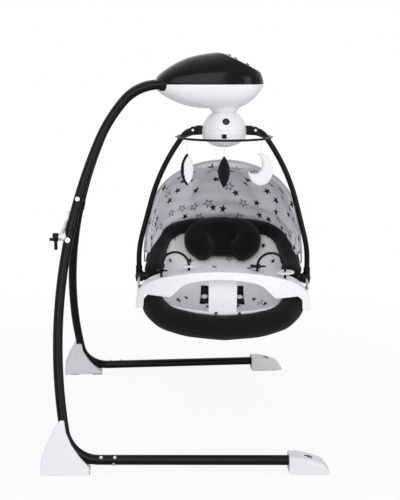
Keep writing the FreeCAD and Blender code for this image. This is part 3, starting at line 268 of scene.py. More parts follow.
# %% Star print
def star_print(tree, place, spacing, size, outlined):
    """Mask of scattered stars, 1 on ink.  place is in metres; spacing and size are too."""
    scaled = add(tree, "ShaderNodeVectorMath", {"operation": "SCALE", "Scale": 1.0 / spacing}, i0=place)
    cells = add(tree, "ShaderNodeTexVoronoi", {"voronoi_dimensions": "2D", "Scale": 1.0, "Randomness": 0.85},
                Vector=scaled.outputs[0])
    offset = add(tree, "ShaderNodeVectorMath", {"operation": "SUBTRACT"}, i0=scaled.outputs[0],
                 i1=cells.outputs["Position"])
    random = add(tree, "ShaderNodeSeparateColor", Color=cells.outputs["Color"])
    parts = add(tree, "ShaderNodeSeparateXYZ", Vector=offset.outputs[0])
    angle = add(tree, "ShaderNodeMath", {"operation": "ARCTAN2"}, i0=parts.outputs[1], i1=parts.outputs[0])
    spin = add(tree, "ShaderNodeMath", {"operation": "MULTIPLY_ADD", 1: 6.2832}, i0=random.outputs[0],
               i2=angle.outputs[0])
    fifth = 2 * math.pi / 5
    folded = add(tree, "ShaderNodeMath", {"operation": "PINGPONG", 1: fifth / 2}, i0=spin.outputs[0])
    flat = add(tree, "ShaderNodeVectorMath", {"operation": "MULTIPLY", 1: (1, 1, 0)}, i0=offset.outputs[0])
    reach = add(tree, "ShaderNodeVectorMath", {"operation": "LENGTH"}, i0=flat.outputs[0])
    # the arm's edge runs from a tip at radius 1 to an inner corner at radius 0.42
    tip, corner = Vector((1, 0)), Vector((0.42 * math.cos(fifth / 2), 0.42 * math.sin(fifth / 2)))
    edge = corner - tip
    normal = Vector((edge.y, -edge.x)).normalized()
    lean = math.atan2(normal.y, normal.x)
    level = tip.dot(normal)
    turn = add(tree, "ShaderNodeMath", {"operation": "SUBTRACT", 1: lean}, i0=folded.outputs[0])
    cosine = add(tree, "ShaderNodeMath", {"operation": "COSINE"}, i0=turn.outputs[0])
    depth = add(tree, "ShaderNodeMath", {"operation": "MULTIPLY"}, i0=cosine.outputs[0],
                i1=reach.outputs["Value"])
    grow = add(tree, "ShaderNodeMapRange", {"To Min": 0.66 * size * level / spacing,
                                            "To Max": size * level / spacing}, Value=random.outputs[1])
    ratio = add(tree, "ShaderNodeMath", {"operation": "DIVIDE"}, i0=depth.outputs[0], i1=grow.outputs[0])
    inside = add(tree, "ShaderNodeMath", {"operation": "LESS_THAN", 1: 1.0}, i0=ratio.outputs[0])
    hollow = add(tree, "ShaderNodeMath", {"operation": "LESS_THAN", 1: 0.62}, i0=ratio.outputs[0])
    kind = add(tree, "ShaderNodeMath", {"operation": "GREATER_THAN", 1: 1.0 - outlined}, i0=random.outputs[1])
    hole = add(tree, "ShaderNodeMath", {"operation": "MULTIPLY"}, i0=hollow.outputs[0], i1=kind.outputs[0])
    return add(tree, "ShaderNodeMath", {"operation": "SUBTRACT", "use_clamp": True}, i0=inside.outputs[0],
               i1=hole.outputs[0]).outputs[0]


# %% [markdown]
# Printed cotton poplin shows a plain weave up close.  Real threads lie about 0.4 mm apart; they
# are drawn here at 1.6 mm so that a render can hold them.  Two wave textures, one across the
# other, make the weave, and a slow noise gives the soft unevenness of washed cloth.  The weave
# also darkens the colour a little in the gaps between threads: a painted shade that follows the
# weave's bump.

# %% Woven cloth maker
def woven_cloth(name, ground, ink, spacing, size, outlined, thread_mm, sheen):
    """Printed woven cloth that follows the piece's UV map, laid out in metres."""
    material, tree, shader = new_material(name)
    place = add(tree, "ShaderNodeUVMap", {"uv_map": "cloth"}).outputs[0]
    ink_mask = star_print(tree, place, spacing, size, outlined)
    cloud = add(tree, "ShaderNodeTexNoise", {"Scale": 14.0, "Detail": 4.0}, Vector=place)
    tone = add(tree, "ShaderNodeMapRange", {"To Min": 0.93, "To Max": 1.05}, Value=cloud.outputs[0])
    waves = []
    for direction in ("X", "Y"):
        settings = {"bands_direction": direction, "Distortion": 1.2, "Detail": 1.0,
                    "Scale": 1000.0 / thread_mm / 6.2832 * 1.57}
        waves.append(add(tree, "ShaderNodeTexWave", settings, Vector=place).outputs["Fac"])
    weave = add(tree, "ShaderNodeMath", {"operation": "MULTIPLY"}, i0=waves[0], i1=waves[1])
    # painted shade: the weave that lifts the bump also darkens the colour in the gaps between threads
    thread = add(tree, "ShaderNodeMapRange", {"To Min": 0.955, "To Max": 1.0}, Value=weave.outputs[0])
    shade = add(tree, "ShaderNodeMath", {"operation": "MULTIPLY"}, i0=tone.outputs[0], i1=thread.outputs[0])
    printed = add(tree, "ShaderNodeMix", {"data_type": "RGBA", 6: srgb(ground), 7: srgb(ink)}, i0=ink_mask)
    base = add(tree, "ShaderNodeMix", {"data_type": "RGBA", "blend_type": "MULTIPLY", 0: 1.0},
               i6=printed.outputs[2], i7=shade.outputs[0])
    feed(tree, base.outputs[2], shader.inputs["Base Color"])
    bump = add(tree, "ShaderNodeBump", {"Strength": 0.35, "Distance": 0.0005}, Height=weave.outputs[0])
    feed(tree, bump.outputs[0], shader.inputs["Normal"])
    shader.inputs["Roughness"].default_value = 0.82
    shader.inputs["Sheen Weight"].default_value = sheen
    return material


CANOPY_CLOTH = woven_cloth("printed_poplin_grey", "#ececf4", "#121216", 0.056, 0.0200, 0.38, 1.6, 0.05)
LINER_CLOTH = woven_cloth("printed_cotton_white", "#faf9fc", "#121216", 0.062, 0.0145, 0.25, 1.6, 0.05)

# %% [markdown]
# Short plush covers the rolls and the pillow.  Its pile stands up, so it is darkest where it is
# seen end on and catches light at a glancing angle.  Sheen does that, and two noises, one of pile
# tufts about 2 mm across and one of brush-flattened patches a few centimetres wide, break up the
# surface.  The tuft noise also sets the colour: tuft tops are painted lighter and the hollows
# between them are painted darker, a painted shade that follows the tuft bump.

# %% Plush and felt
def pile_cloth(name, colour, brushed_and_tip_light, tuft_mm, sheen, depth=0.9):
    """Pile or felt: tuft bump, brush-flattened patches, painted light on tuft tops and painted shade in their
    hollows, and a sheen at the edges.
    """
    material, tree, shader = new_material(name)
    place = add(tree, "ShaderNodeTexCoord").outputs["Object"]
    patch = add(tree, "ShaderNodeTexNoise", {"Scale": 16.0, "Detail": 4.0, "Roughness": 0.7}, Vector=place)
    tuft = add(tree, "ShaderNodeTexNoise", {"Scale": 1000.0 / tuft_mm, "Detail": 2.0}, Vector=place)
    # painted shade: the tuft noise that lifts the bump also lightens the colour on tuft tops and darkens it
    # in the hollows
    painted_tuft_shade = add(tree, "ShaderNodeMapRange", {"From Min": 0.3, "From Max": 0.7, "To Min": 0.0, "To Max": 0.5},
                 Value=tuft.outputs[0])
    patches_and_tuft_shade = add(tree, "ShaderNodeMath", {"operation": "MULTIPLY_ADD", 1: 0.5}, i0=patch.outputs[0],
              i2=painted_tuft_shade.outputs[0])
    base = add(tree, "ShaderNodeMix", {"data_type": "RGBA", 6: srgb(colour), 7: srgb(brushed_and_tip_light)},
               i0=patches_and_tuft_shade.outputs[0])
    feed(tree, base.outputs[2], shader.inputs["Base Color"])
    bump = add(tree, "ShaderNodeBump", {"Strength": depth, "Distance": 0.0012}, Height=tuft.outputs[0])
    feed(tree, bump.outputs[0], shader.inputs["Normal"])
    shader.inputs["Roughness"].default_value = 0.95
    shader.inputs["Sheen Weight"].default_value = sheen
    shader.inputs["Sheen Roughness"].default_value = 0.45
    shader.inputs["Specular IOR Level"].default_value = 0.2
    return material


BLACK_PLUSH = pile_cloth("black_plush", "#06070a", "#121318", 2.0, 0.10)
WHITE_FELT = pile_cloth("white_plush", "#e9e8ea", "#f7f6f8", 1.6, 0.3, depth=0.5)
WEBBING = pile_cloth("woven_webbing", "#0d0d0f", "#1d1d20", 1.2, 0.1, depth=0.7)
PIPING = pile_cloth("pale_piping", "#a3a3ae", "#c4c4ce", 1.2, 0.1, depth=0.5)
STRING = pile_cloth("twisted_string", "#d8d8da", "#efeff0", 0.8, 0.1, depth=0.4)
for cord in strings:
    cord.data.materials.append(STRING)
print("cloths:", [m.name for m in (CANOPY_CLOTH, LINER_CLOTH, BLACK_PLUSH, WHITE_FELT)])

# %% [markdown]
# ## Stuffed pieces
#
# A roll or pillow is a sewn bag pushed out by its filling.  Its CAD solid holds the space it has,
# so the solid is copied, welded and remeshed to even cells, and cloth pressure from inside blows
# it up a few millimetres.  How far a point may move is capped, because the filling is soft.

# %% Mesh helpers
def link(name, mesh):
    obj = bpy.data.objects.new(name, mesh)
    scene.collection.objects.link(obj)
    return obj


def welded_copy(node, name):
    """A welded copy of a CAD node's triangles."""
    obj = link(name, frame["nodes"][node].data.copy())
    obj.data.materials.clear()
    bm = bmesh.new()
    bm.from_mesh(obj.data)
    bmesh.ops.remove_doubles(bm, verts=bm.verts, dist=2e-5)
    bm.to_mesh(obj.data)
    bm.free()
    return obj


def bake(obj):
    """Replace an object's mesh by its evaluated mesh, and drop its modifiers."""
    depsgraph = bpy.context.evaluated_depsgraph_get()
    mesh = bpy.data.meshes.new_from_object(obj.evaluated_get(depsgraph))
    old = obj.data
    obj.modifiers.clear()
    obj.data = mesh
    bpy.data.meshes.remove(old)
    return obj


def points_of(obj):
    co = np.empty(len(obj.data.vertices) * 3)
    obj.data.vertices.foreach_get("co", co)
    return co.reshape(-1, 3)


def set_points(obj, co):
    obj.data.vertices.foreach_set("co", np.asarray(co, float).ravel())
    obj.data.update()


def smooth_shade(obj):
    for face in obj.data.polygons:
        face.use_smooth = True
    return obj


def relax(obj, rounds, factor=0.5):
    """Even out a mesh by moving each point towards the mean of its neighbours."""
    edges = np.empty(len(obj.data.edges) * 2, int)
    obj.data.edges.foreach_get("vertices", edges)
    edges = edges.reshape(-1, 2)
    co = points_of(obj)
    count = np.zeros(len(co))
    np.add.at(count, edges.ravel(), 1)
    for _ in range(rounds):
        total = np.zeros_like(co)
        np.add.at(total, edges[:, 0], co[edges[:, 1]])
        np.add.at(total, edges[:, 1], co[edges[:, 0]])
        co += factor * (total / np.maximum(count, 1)[:, None] - co)
    set_points(obj, co)


def remeshed(node, name, voxel_mm, rounds):
    obj = welded_copy(node, name)
    even = obj.modifiers.new("even", "REMESH")
    even.mode = "VOXEL"
    even.voxel_size = voxel_mm * MM
    bake(obj)
    relax(obj, rounds)
    return smooth_shade(obj)


def blow_up(obj, pressure, cap_mm, frames=20):
    """Push a closed mesh out with cloth pressure; no point moves further than the cap.

    A quick build moves each point half the cap along its normal instead.  The furthest move that
    The furthest move that was kept is returned, in millimetres.
    """
    start = points_of(obj)
    cloth = obj.modifiers.new("filling", "CLOTH")
    settings = cloth.settings
    settings.quality = 5
    settings.mass = 0.3
    settings.use_pressure = True
    settings.uniform_pressure_force = pressure
    settings.effector_weights.gravity = 0.0
    settings.tension_stiffness = settings.compression_stiffness = 15
    cloth.point_cache.frame_start = 1
    cloth.point_cache.frame_end = frames
    for number in range(1, frames + 1):
        scene.frame_set(number)
    bake(obj)
    scene.frame_set(1)
    move = points_of(obj) - start
    length = np.linalg.norm(move, axis=1)
    scale = np.minimum(1.0, cap_mm * MM / np.maximum(length, 1e-9))
    set_points(obj, start + move * scale[:, None])
    smooth_shade(obj)
    return (length * scale).max() / MM


def push(obj, amount):
    """Move each point along its normal by amount(point), in millimetres."""
    co = points_of(obj)
    normals = np.array([v.normal[:] for v in obj.data.vertices])
    shift = np.array([amount(Vector(p)) for p in co]) * MM
    set_points(obj, co + normals * shift[:, None])


def subdivide(obj):
    """One smooth subdivision, so that the stuffing has no facets."""
    fine = obj.modifiers.new("fine", "SUBSURF")
    fine.levels = fine.render_levels = 1
    return smooth_shade(bake(obj))


def finish_soft(obj, body, nodes, material):
    set_material(obj, material)
    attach(obj, body)
    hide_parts(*nodes)
    return obj


# %% [markdown]
# Moulded parts have no sharp edges: plastic needs a radius of a millimetre or two to fill its
# mould and leave it.  The tray, the feet and the heel brackets are remeshed finely and relaxed,
# which rounds every edge by about that much.

# %% Moulded edges
def moulded(node, body, material, voxel_mm, rounds):
    """A copy of a CAD node with its edges rounded, standing for that node."""
    obj = remeshed(node, "moulded_" + node, voxel_mm, rounds)
    set_material(obj, material)
    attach(obj, body)
    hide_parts(node)
    return obj


tray = moulded("tray", "tray", TRAY_PP, 1.6, 3)
for side in ("near", "far"):
    moulded(side + "_toe_foot", side + "_side", FOOT_PP, 1.8, 3)
    moulded(side + "_heel_bracket", side + "_side", FOOT_PP, 1.8, 3)
print("tray mesh: %d faces" % len(tray.data.polygons))

# %% [markdown]
# The roll round the back and the fat lip at the front are the same black plush bag.  The lip
# takes most of the weight of small legs, so it is the fuller one.  A slow noise dents them, as
# hand stuffing does.

# %% Rolls
def dents(scale, depth):
    def amount(p):
        return depth * noise.noise(p * scale)
    return amount


back_roll = remeshed("back_roll", "stuffed_back_roll", 5.0, 4)
swelled = blow_up(back_roll, 3.0, 3.0)
push(back_roll, dents(26.0, 1.6))
subdivide(back_roll)
finish_soft(back_roll, "seat", ["back_roll"], BLACK_PLUSH)
print("back roll swelled %.1f mm, %d points" % (swelled, len(back_roll.data.vertices)))

front_roll = remeshed("front_roll", "stuffed_front_roll", 5.0, 4)
swelled = blow_up(front_roll, 4.0, 5.0)
push(front_roll, dents(22.0, 1.8))
subdivide(front_roll)
finish_soft(front_roll, "seat", ["front_roll"], BLACK_PLUSH)
print("front roll swelled %.1f mm" % swelled)

# %% Pillow
pillow = remeshed("head_pillow", "stuffed_head_pillow", 4.5, 5)
swelled = blow_up(pillow, 4.0, 4.0)
push(pillow, dents(30.0, 1.5))
subdivide(pillow)
finish_soft(pillow, "seat", ["head_pillow"], BLACK_PLUSH)
print("pillow swelled %.1f mm" % swelled)

# %% [markdown]
# The liner is quilted cotton laid in the tub.  It is thinner than a remesh can hold, and its print
# has to follow the cloth, so it is drawn as rings instead: each ring is the tub's outline at one
# depth, made of eight tangent arcs, drawn in by the thickness of shell and cloth.

# %% Tub outline
TUB = np.array([(0, 200, 246, 20), (38, 188, 220, 12), (76, 168, 183, -5), (104, 136, 142, -26),
                (124, 96, 99, -45)], float)


def tub_level(depth):
    """Half width, half length and shift of the tub at a depth, smooth between its levels."""
    knots = TUB[:, 0]
    weights = np.array([np.prod([(depth - other) / (own - other) for other in knots if other != own])
                        for own in knots])
    return weights @ TUB[:, 1:]


def outline(half_x, half_y, shift, inset, count):
    """Evenly spaced points (x, y) round the outline, from the right side anticlockwise."""
    side_r, corner_r, end_r = 4.5 * half_x, 0.55 * half_x, 1.65 * half_x
    side_c, end_c = side_r - half_x, end_r - half_y
    far, near, gap = side_r - corner_r, end_r - corner_r, math.hypot(side_c, end_c)
    along = (far * far - near * near + gap * gap) / (2 * gap)
    across = math.sqrt(far * far - along * along)
    ux, uy = side_c / gap, -end_c / gap
    cx, cy = -side_c + along * ux - across * uy, along * uy + across * ux
    a_side, a_end = math.atan2(cy, cx + side_c), math.atan2(cy + end_c, cx)
    turn = math.pi
    arcs = [(-side_c, 0, side_r, 0, a_side), (cx, cy, corner_r, a_side, a_end),
            (0, -end_c, end_r, a_end, turn - a_end), (-cx, cy, corner_r, turn - a_end, turn - a_side),
            (side_c, 0, side_r, turn - a_side, turn + a_side),
            (-cx, -cy, corner_r, turn + a_side, turn + a_end),
            (0, end_c, end_r, turn + a_end, 2 * turn - a_end),
            (cx, -cy, corner_r, 2 * turn - a_end, 2 * turn - a_side),
            (-side_c, 0, side_r, 2 * turn - a_side, 2 * turn)]
    points = []
    for x, y, r, start, end in arcs:
        steps = max(2, int((r - inset) * (end - start) / 0.8))
        angles = np.linspace(start, end, steps, endpoint=False)
        points.append(np.stack([x + (r - inset) * np.cos(angles),
                                y + (r - inset) * np.sin(angles) + shift], axis=1))
    dense = np.concatenate(points)
    walk = np.concatenate([[0], np.cumsum(np.linalg.norm(np.diff(dense, axis=0), axis=1))])
    even = np.linspace(0, walk[-1], count, endpoint=False)
    return np.stack([np.interp(even, walk, dense[:, k]) for k in (0, 1)], axis=1)


# %% [markdown]
# The quilting is drawn in as the rings are laid: seams run down the wall and one seam goes round
# where wall meets floor, and between them the wadding stands up by a few millimetres.

# %% Liner
COUNT = 168
INNER, OUTER = 12.0, 4.2
FLOOR_V = -45.0


def wall_ring(depth, inset):
    """One ring of the wall; at the front its top is padded up over the lip."""
    half_x, half_y, shift = tub_level(depth)
    flat = outline(half_x, half_y, shift, inset, COUNT)
    z = -depth + inset * depth / 124.0
    rise = 9.0 * max(0.0, 1.0 - depth / 26.0)
    return [Vector((x, y, z + rise * min(1.0, max(0.0, (-120.0 - y) / 70.0)))) for x, y in flat]


def puff(column, share):
    """Height of the wadding at a column and a share of the way from rim to floor seam."""
    around = column / COUNT
    panels = abs(math.sin(math.pi * (around * 10 + 0.5)))
    down = abs(math.sin(math.pi * share * 2.0))
    return 3.0 * panels ** 0.6 * (0.35 + 0.65 * down ** 0.6)


rings = []
for depth in (110, 96, 76, 56, 38, 20, 6):
    rings.append(wall_ring(depth, OUTER))
for lift, inset in ((1.0, 5.2), (2.6, 8.0), (1.4, 11.2)):
    rings.append([p + Vector((0, 0, lift)) for p in wall_ring(0.5, inset)])
WALL = 30
for step in range(WALL + 1):
    share = step / WALL
    depth = 2.0 + 118.0 * share
    ring = wall_ring(depth, INNER)
    middle = Vector((0, FLOOR_V, ring[0].z + 60.0))
    rings.append([p + (middle - p).normalized() * puff(c, share) * math.sin(math.pi * min(1, share + 0.04))
                  for c, p in enumerate(ring)])
last = rings[-1]
FLOOR = 9
for step in range(1, FLOOR):
    share = step / FLOOR
    rings.append([p.lerp(Vector((0, FLOOR_V, p.z - 1.0)), share)
                  + Vector((0, 0, 3.0 * math.sin(math.pi * share) * abs(math.cos(1.5 * math.pi * share))))
                  for p in last])

bm = bmesh.new()
uv_layer = bm.loops.layers.uv.new("cloth")
rows = [[bm.verts.new(RIM @ p) for p in ring] for ring in rings]
hub_vert = bm.verts.new(RIM @ Vector((0, FLOOR_V, last[0].z - 1.0)))
under_vert = bm.verts.new(RIM @ Vector((0, FLOOR_V, -117.0)))
centre = Vector((0, FLOOR_V, 0))
reach = [np.zeros(COUNT)]
inner_rings = [[Vector((0, FLOOR_V, last[0].z - 1.0))] * COUNT] + list(reversed(rings))
for ring, before in zip(reversed(rings), inner_rings):
    reach.append(reach[-1] + np.array([(a - b).length for a, b in zip(ring, before)]))
reach = list(reversed(reach[1:]))
flat = []
for ring, away in zip(rings, reach):
    flat.append([((p - centre).to_2d().normalized() * d * MM) for p, d in zip(ring, away)])
for r in range(len(rows) - 1):
    for c in range(COUNT):
        d = (c + 1) % COUNT
        face = bm.faces.new([rows[r][c], rows[r][d], rows[r + 1][d], rows[r + 1][c]])
        for loop, (rr, cc) in zip(face.loops, ((r, c), (r, d), (r + 1, d), (r + 1, c))):
            loop[uv_layer].uv = flat[rr][cc]
for c in range(COUNT):
    d = (c + 1) % COUNT
    face = bm.faces.new([rows[-1][c], rows[-1][d], hub_vert])
    for loop, place in zip(face.loops, (flat[-1][c], flat[-1][d], Vector((0, 0)))):
        loop[uv_layer].uv = place
    bm.faces.new([rows[0][d], rows[0][c], under_vert])
bmesh.ops.recalc_face_normals(bm, faces=bm.faces)
liner = link("quilted_liner", bpy.data.meshes.new("quilted_liner"))
bm.to_mesh(liner.data)
bm.free()
smooth_shade(liner)
push(liner, dents(34.0, 0.8))
finish_soft(liner, "seat", ["seat_pad"], LINER_CLOTH)
print("liner: %d rings of %d points" % (len(rings), COUNT))

# %% [markdown]
# ## Canopy
#
# The canopy is one curved sheet.  It is sewn round the wire hoop at its front edge, gathers at
# the two hinge bosses, and is caught under the back roll.  Its outline at every angle back from
# upright is the hoop's own outline, drawn in a little towards the back, so the sheet is built as
# rows of those outlines; slack between them sags inwards.

# %% Canopy outline
HINGE = Vector((0.0, 35.0, 453.0))
HOOP_ARCS = ((262.0, 29.4), (164.0, 45.6), (640.0, 14.0))
HOOP_APEX = 299.0
CANOPY_BACK, CANOPY_SHRINK = 78.0, 0.115


def hoop_half(count):
    """Points (x, height over the hinge, arc length) from the apex down to the right foot."""
    x, z, heading, run = 0.0, HOOP_APEX, 0.0, 0.0
    total = sum(r * math.radians(t) for r, t in HOOP_ARCS)
    places = [total * i / (count - 1) for i in range(count)]
    found = []
    for radius, turn in HOOP_ARCS:
        span = radius * math.radians(turn)
        cx, cz = x + radius * math.sin(heading), z - radius * math.cos(heading)
        due = [p for p in places if run - 1e-6 <= p <= run + span + 1e-6]
        for s in [p for p in due if len(found) <= places.index(p)]:
            a = heading - (s - run) / radius
            found.append((cx - radius * math.sin(a), cz + radius * math.cos(a), s))
        end = heading - math.radians(turn)
        x, z = cx - radius * math.sin(end), cz + radius * math.cos(end)
        heading, run = end, run + span
    return found


half = hoop_half(61)
HOOP = [(-x, z, -s) for x, z, s in reversed(half[1:])] + half
print("hoop outline: %d points, half %.0f mm long" % (len(HOOP), half[-1][2]))


def canopy_point(column, angle, inset=0.0):
    """A point of the cloth, in the seat's frame, at an angle back from upright."""
    x, z, _ = HOOP[column]
    part = max(0.0, (angle - 28.0) / (CANOPY_BACK - 28.0))
    scale = 1.0 - CANOPY_SHRINK * part ** 1.3 - inset / HOOP_APEX
    a = math.radians(angle)
    return Vector((x * scale, HINGE.y + z * scale * math.sin(a), HINGE.z + z * scale * math.cos(a)))


# %% Canopy cloth
ROWS = 73
SEAM_ANGLE = 31.0


def crease(distance, width, depth):
    """A rounded fold, deepest on its line and almost gone two widths away."""
    return depth * math.exp(-(distance / width) ** 2)


def slack(column, angle):
    """How far the cloth hangs in from its frame, in millimetres."""
    s = HOOP[column][2] / half[-1][2]
    to_hoop = math.sin(math.pi * min(1.0, angle / SEAM_ANGLE)) if angle < SEAM_ANGLE else 0.0
    behind = max(0.0, (angle - SEAM_ANGLE) / (CANOPY_BACK - SEAM_ANGLE))
    to_back = math.sin(math.pi * behind)
    down = angle / CANOPY_BACK
    edge = abs(s) ** 2.0
    sag = 6.0 * to_hoop + 7.0 * to_back
    swell = math.sin(math.pi * min(1.0, down + 0.12))
    folds = sum(crease(s - side * (0.08 + 0.34 * down), 0.085, 17.0 * swell) for side in (-1, 1))
    folds += crease(s - 0.62 + 0.1 * down, 0.07, 9.0 * swell)
    gathers = 6.5 * edge * math.sin(math.radians(angle) * 15.0 + 3.0 * s)
    pulls = 6.0 * math.sin(s * 24.0 + 0.05 * angle) * (1 - abs(s)) ** 2 * down ** 3
    ripples = 3.4 * math.sin(angle * 0.6 + 9.0 * s * s) * (1 - abs(s)) * down ** 2
    drift = 4.5 * noise.noise(Vector((s * 6.0, angle * 0.08, 3.0)))
    return sag * (1 - 0.5 * edge) + folds + gathers + pulls + ripples + drift + 6.0


bm = bmesh.new()
uv_layer = bm.loops.layers.uv.new("cloth")
COLUMNS = range(3, len(HOOP) - 3)
grid, cut = [], []
for row in range(ROWS):
    angle = 0.6 + (CANOPY_BACK - 0.6) * row / (ROWS - 1)
    line, flat = [], []
    for column in COLUMNS:
        hang = slack(column, angle) * min(1.0, row / 3.0) + 1.0
        line.append(bm.verts.new(SEAT @ canopy_point(column, angle, hang)))
        s = HOOP[column][2]
        flat.append((s * MM, HOOP_APEX * 0.9 * math.radians(angle) * MM))
    grid.append(line)
    cut.append(flat)
for row in range(ROWS - 1):
    for i in range(len(grid[0]) - 1):
        corners = ((row, i), (row, i + 1), (row + 1, i + 1), (row + 1, i))
        face = bm.faces.new([grid[r][c] for r, c in corners])
        face.smooth = True
        for loop, (r, c) in zip(face.loops, corners):
            loop[uv_layer].uv = cut[r][c]
canopy = link("canopy_cloth", bpy.data.meshes.new("canopy_cloth"))
bm.normal_update()
canopy_area = sum(face.calc_area() for face in bm.faces)
bm.to_mesh(canopy.data)
bm.free()
thick = canopy.modifiers.new("cloth_thickness", "SOLIDIFY")
thick.thickness = 1.0 * MM
thick.offset = 0.0
bake(canopy)
smooth_shade(canopy)
set_material(canopy, CANOPY_CLOTH)
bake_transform(canopy)
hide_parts("canopy_front", "canopy_rear")

# %% [markdown]
# A bound edge covers the wire: a pale tube of piping along the canopy's front.  Rings of points
# laid square to the line give the tube, and its ends are closed.

# %% Tube helper and canopy binding
def tube_mesh(name, points, radius_mm, sides=10, cyclic=False, radii=None):
    """A round bar along points in the object's frame, with closed ends."""
    bm = bmesh.new()
    rings = []
    count = len(points)
    points = [Vector(p) for p in points]
    before = None
    for i, p in enumerate(points):
        a = points[i - 1] if i or cyclic else p
        b = points[(i + 1) % count] if i < count - 1 or cyclic else p
        along = (b - a).normalized()
        if before is None:
            side = along.orthogonal().normalized()
        else:
            side = (before - along * before.dot(along)).normalized()
        before = side
        other = along.cross(side)
        r = (radii[i] if radii else radius_mm) * MM
        rings.append([bm.verts.new(p + (side * math.cos(t) + other * math.sin(t)) * r)
                      for t in (2 * math.pi * k / sides for k in range(sides))])
    spans = count if cyclic else count - 1
    for i in range(spans):
        a, b = rings[i], rings[(i + 1) % count]
        for k in range(sides):
            bm.faces.new([a[k], a[(k + 1) % sides], b[(k + 1) % sides], b[k]]).smooth = True
    if not cyclic:
        bm.faces.new(list(reversed(rings[0])))
        bm.faces.new(rings[-1])
    obj = link(name, bpy.data.meshes.new(name))
    bm.normal_update()
    bm.to_mesh(obj.data)
    bm.free()
    return obj


rim_line = [SEAT @ canopy_point(c, 0.0) for c in COLUMNS]
binding = tube_mesh("canopy_binding", rim_line, 3.1, sides=12)
set_material(binding, PIPING)
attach(binding, "canopy")

# %% [markdown]
# ## Toys
#
# Three stuffed felt toys hang from the ring.  They are small, so a fine remesh and a few rounds
# of relaxing turn their cut solids into sewn shapes.  The moon is drawn in about its string, and
# the leaf gets a black band along one edge.

# %% Toys
MOON_WIDTH, MOON_HEIGHT = 0.76, 0.95
TOP_BAND = 6 * MM
LEAF_BAND, LEAF_STEP = 8 * MM, 3 * MM
for name, material in (("leaf", WHITE_FELT), ("drop", BLACK_PLUSH), ("moon", WHITE_FELT)):
    toy = remeshed(name + "_toy", "stuffed_" + name, 2.2, 8)
    swelled = blow_up(toy, 4.0, 2.0)
    if name == "moon":
        points = points_of(toy)
        top = points[:, 2].max()
        hung = points[points[:, 2] > top - TOP_BAND][:, 0].mean()
        points[:, 0] = hung + (points[:, 0] - hung) * MOON_WIDTH
        points[:, 2] = top + (points[:, 2] - top) * MOON_HEIGHT
        set_points(toy, points)
    finish_soft(toy, name, [name + "_toy"], material)
    if name == "leaf":
        toy.data.materials.append(BLACK_PLUSH)
        side = {}
        for face in toy.data.polygons:
            level = round(face.center.z / LEAF_STEP)
            side[level] = min(side.get(level, 1.0), face.center.x)
        for face in toy.data.polygons:
            if face.center.x < side[round(face.center.z / LEAF_STEP)] + LEAF_BAND:
                face.material_index = 1
    print(name, "toy swelled %.1f mm" % swelled)

# %% [markdown]
# ## Small turned parts
#
# The sensor window in the hub, the pins' end caps and the marks on the buttons are small round
# parts.  Each is a profile of radius and height, in millimetres, spun round its axis.

# %% Turned parts
def turned_part(name, profile, place, direction, body, material, sides=36):
    """Spin a profile [(radius, height), ...] about an axis that starts at place."""
    turn = Vector(direction).to_track_quat("Z", "Y").to_matrix().to_4x4()
    seat = Matrix.Translation(place) @ turn @ Matrix.Scale(MM, 4)
    bm = bmesh.new()
    rows = []
    for radius, height in profile:
        if radius < 1e-6:
            rows.append([bm.verts.new(seat @ Vector((0, 0, height)))] * sides)
        else:
            rows.append([bm.verts.new(seat @ Vector((radius * math.cos(a), radius * math.sin(a), height)))
                         for a in (2 * math.pi * k / sides for k in range(sides))])
    for low_row, high_row in zip(rows, rows[1:]):
        for k in range(sides):
            n = (k + 1) % sides
            ring = []
            for v in (low_row[k], low_row[n], high_row[n], high_row[k]):
                if v not in ring:
                    ring.append(v)
            if len(ring) > 2:
                bm.faces.new(ring).smooth = True
    bmesh.ops.recalc_face_normals(bm, faces=bm.faces)
    obj = link(name, bpy.data.meshes.new(name))
    bm.to_mesh(obj.data)
    bm.free()
    set_material(obj, material)
    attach(obj, body)
    return obj


HUB_R, HUB_Z = 62.3, 0.836
lift = math.radians(30.0)
outward = Vector((0.0, -math.cos(lift), math.sin(lift)))
window_place = Vector((HUB.x, HUB.y, HUB_Z)) + outward * (HUB_R - 0.6) * MM
turned_part("sensor_bezel", [(0, -1), (9.6, -1), (9.6, 0.9), (9.0, 1.5), (8.0, 1.5), (7.6, 0.8), (0, 0.8)],
            window_place, outward, "hub", BLACK_NYLON)
turned_part("sensor_lens", [(0, 0.4), (7.4, 0.4), (7.4, 1.1), (5.5, 1.9), (3.0, 2.3), (0, 2.4)],
            window_place, outward, "hub", LENS)
for side, name in ((-1, "left"), (1, "right")):
    turned_part(name + "_pin_cap", [(0, 0), (6.0, 0), (6.0, 2.6), (5.0, 4.2), (3.0, 5.0), (0, 5.2)],
                SEAT @ Vector((side * 249.4, 0, 420)), SEAT.to_3x3() @ Vector((side, 0, 0)), "carrier",
                WHITE_ABS)

# %% [markdown]
# Each button carries a plain raised mark made of dots: a ring, a row of three, a plus.  They are placed
# from the button's own box, whose middle lies on the button's axis at the plate.

# %% Button marks
SLOPE = math.radians(26.0)
UP_SLOPE = Vector((math.sin(SLOPE), 0, math.cos(SLOPE)))
ALONG = Vector((math.cos(SLOPE), 0, -math.sin(SLOPE)))
DOT = [(0, 0), (0.8, 0), (0.8, 0.3), (0.5, 0.5), (0, 0.5)]


def mark(name, button, body, dots):
    """Small raised dots (along, across), in millimetres, on a button's top."""
    low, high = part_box(button)
    top = (low + high) / 2 + UP_SLOPE * 6.8 * MM
    for number, (u, v) in enumerate(dots):
        place = top + (ALONG * u + Vector((0, 1, 0)) * v) * MM
        turned_part("%s_%d" % (name, number), DOT, place, UP_SLOPE, body, WHITE_ABS,
                    sides=12)


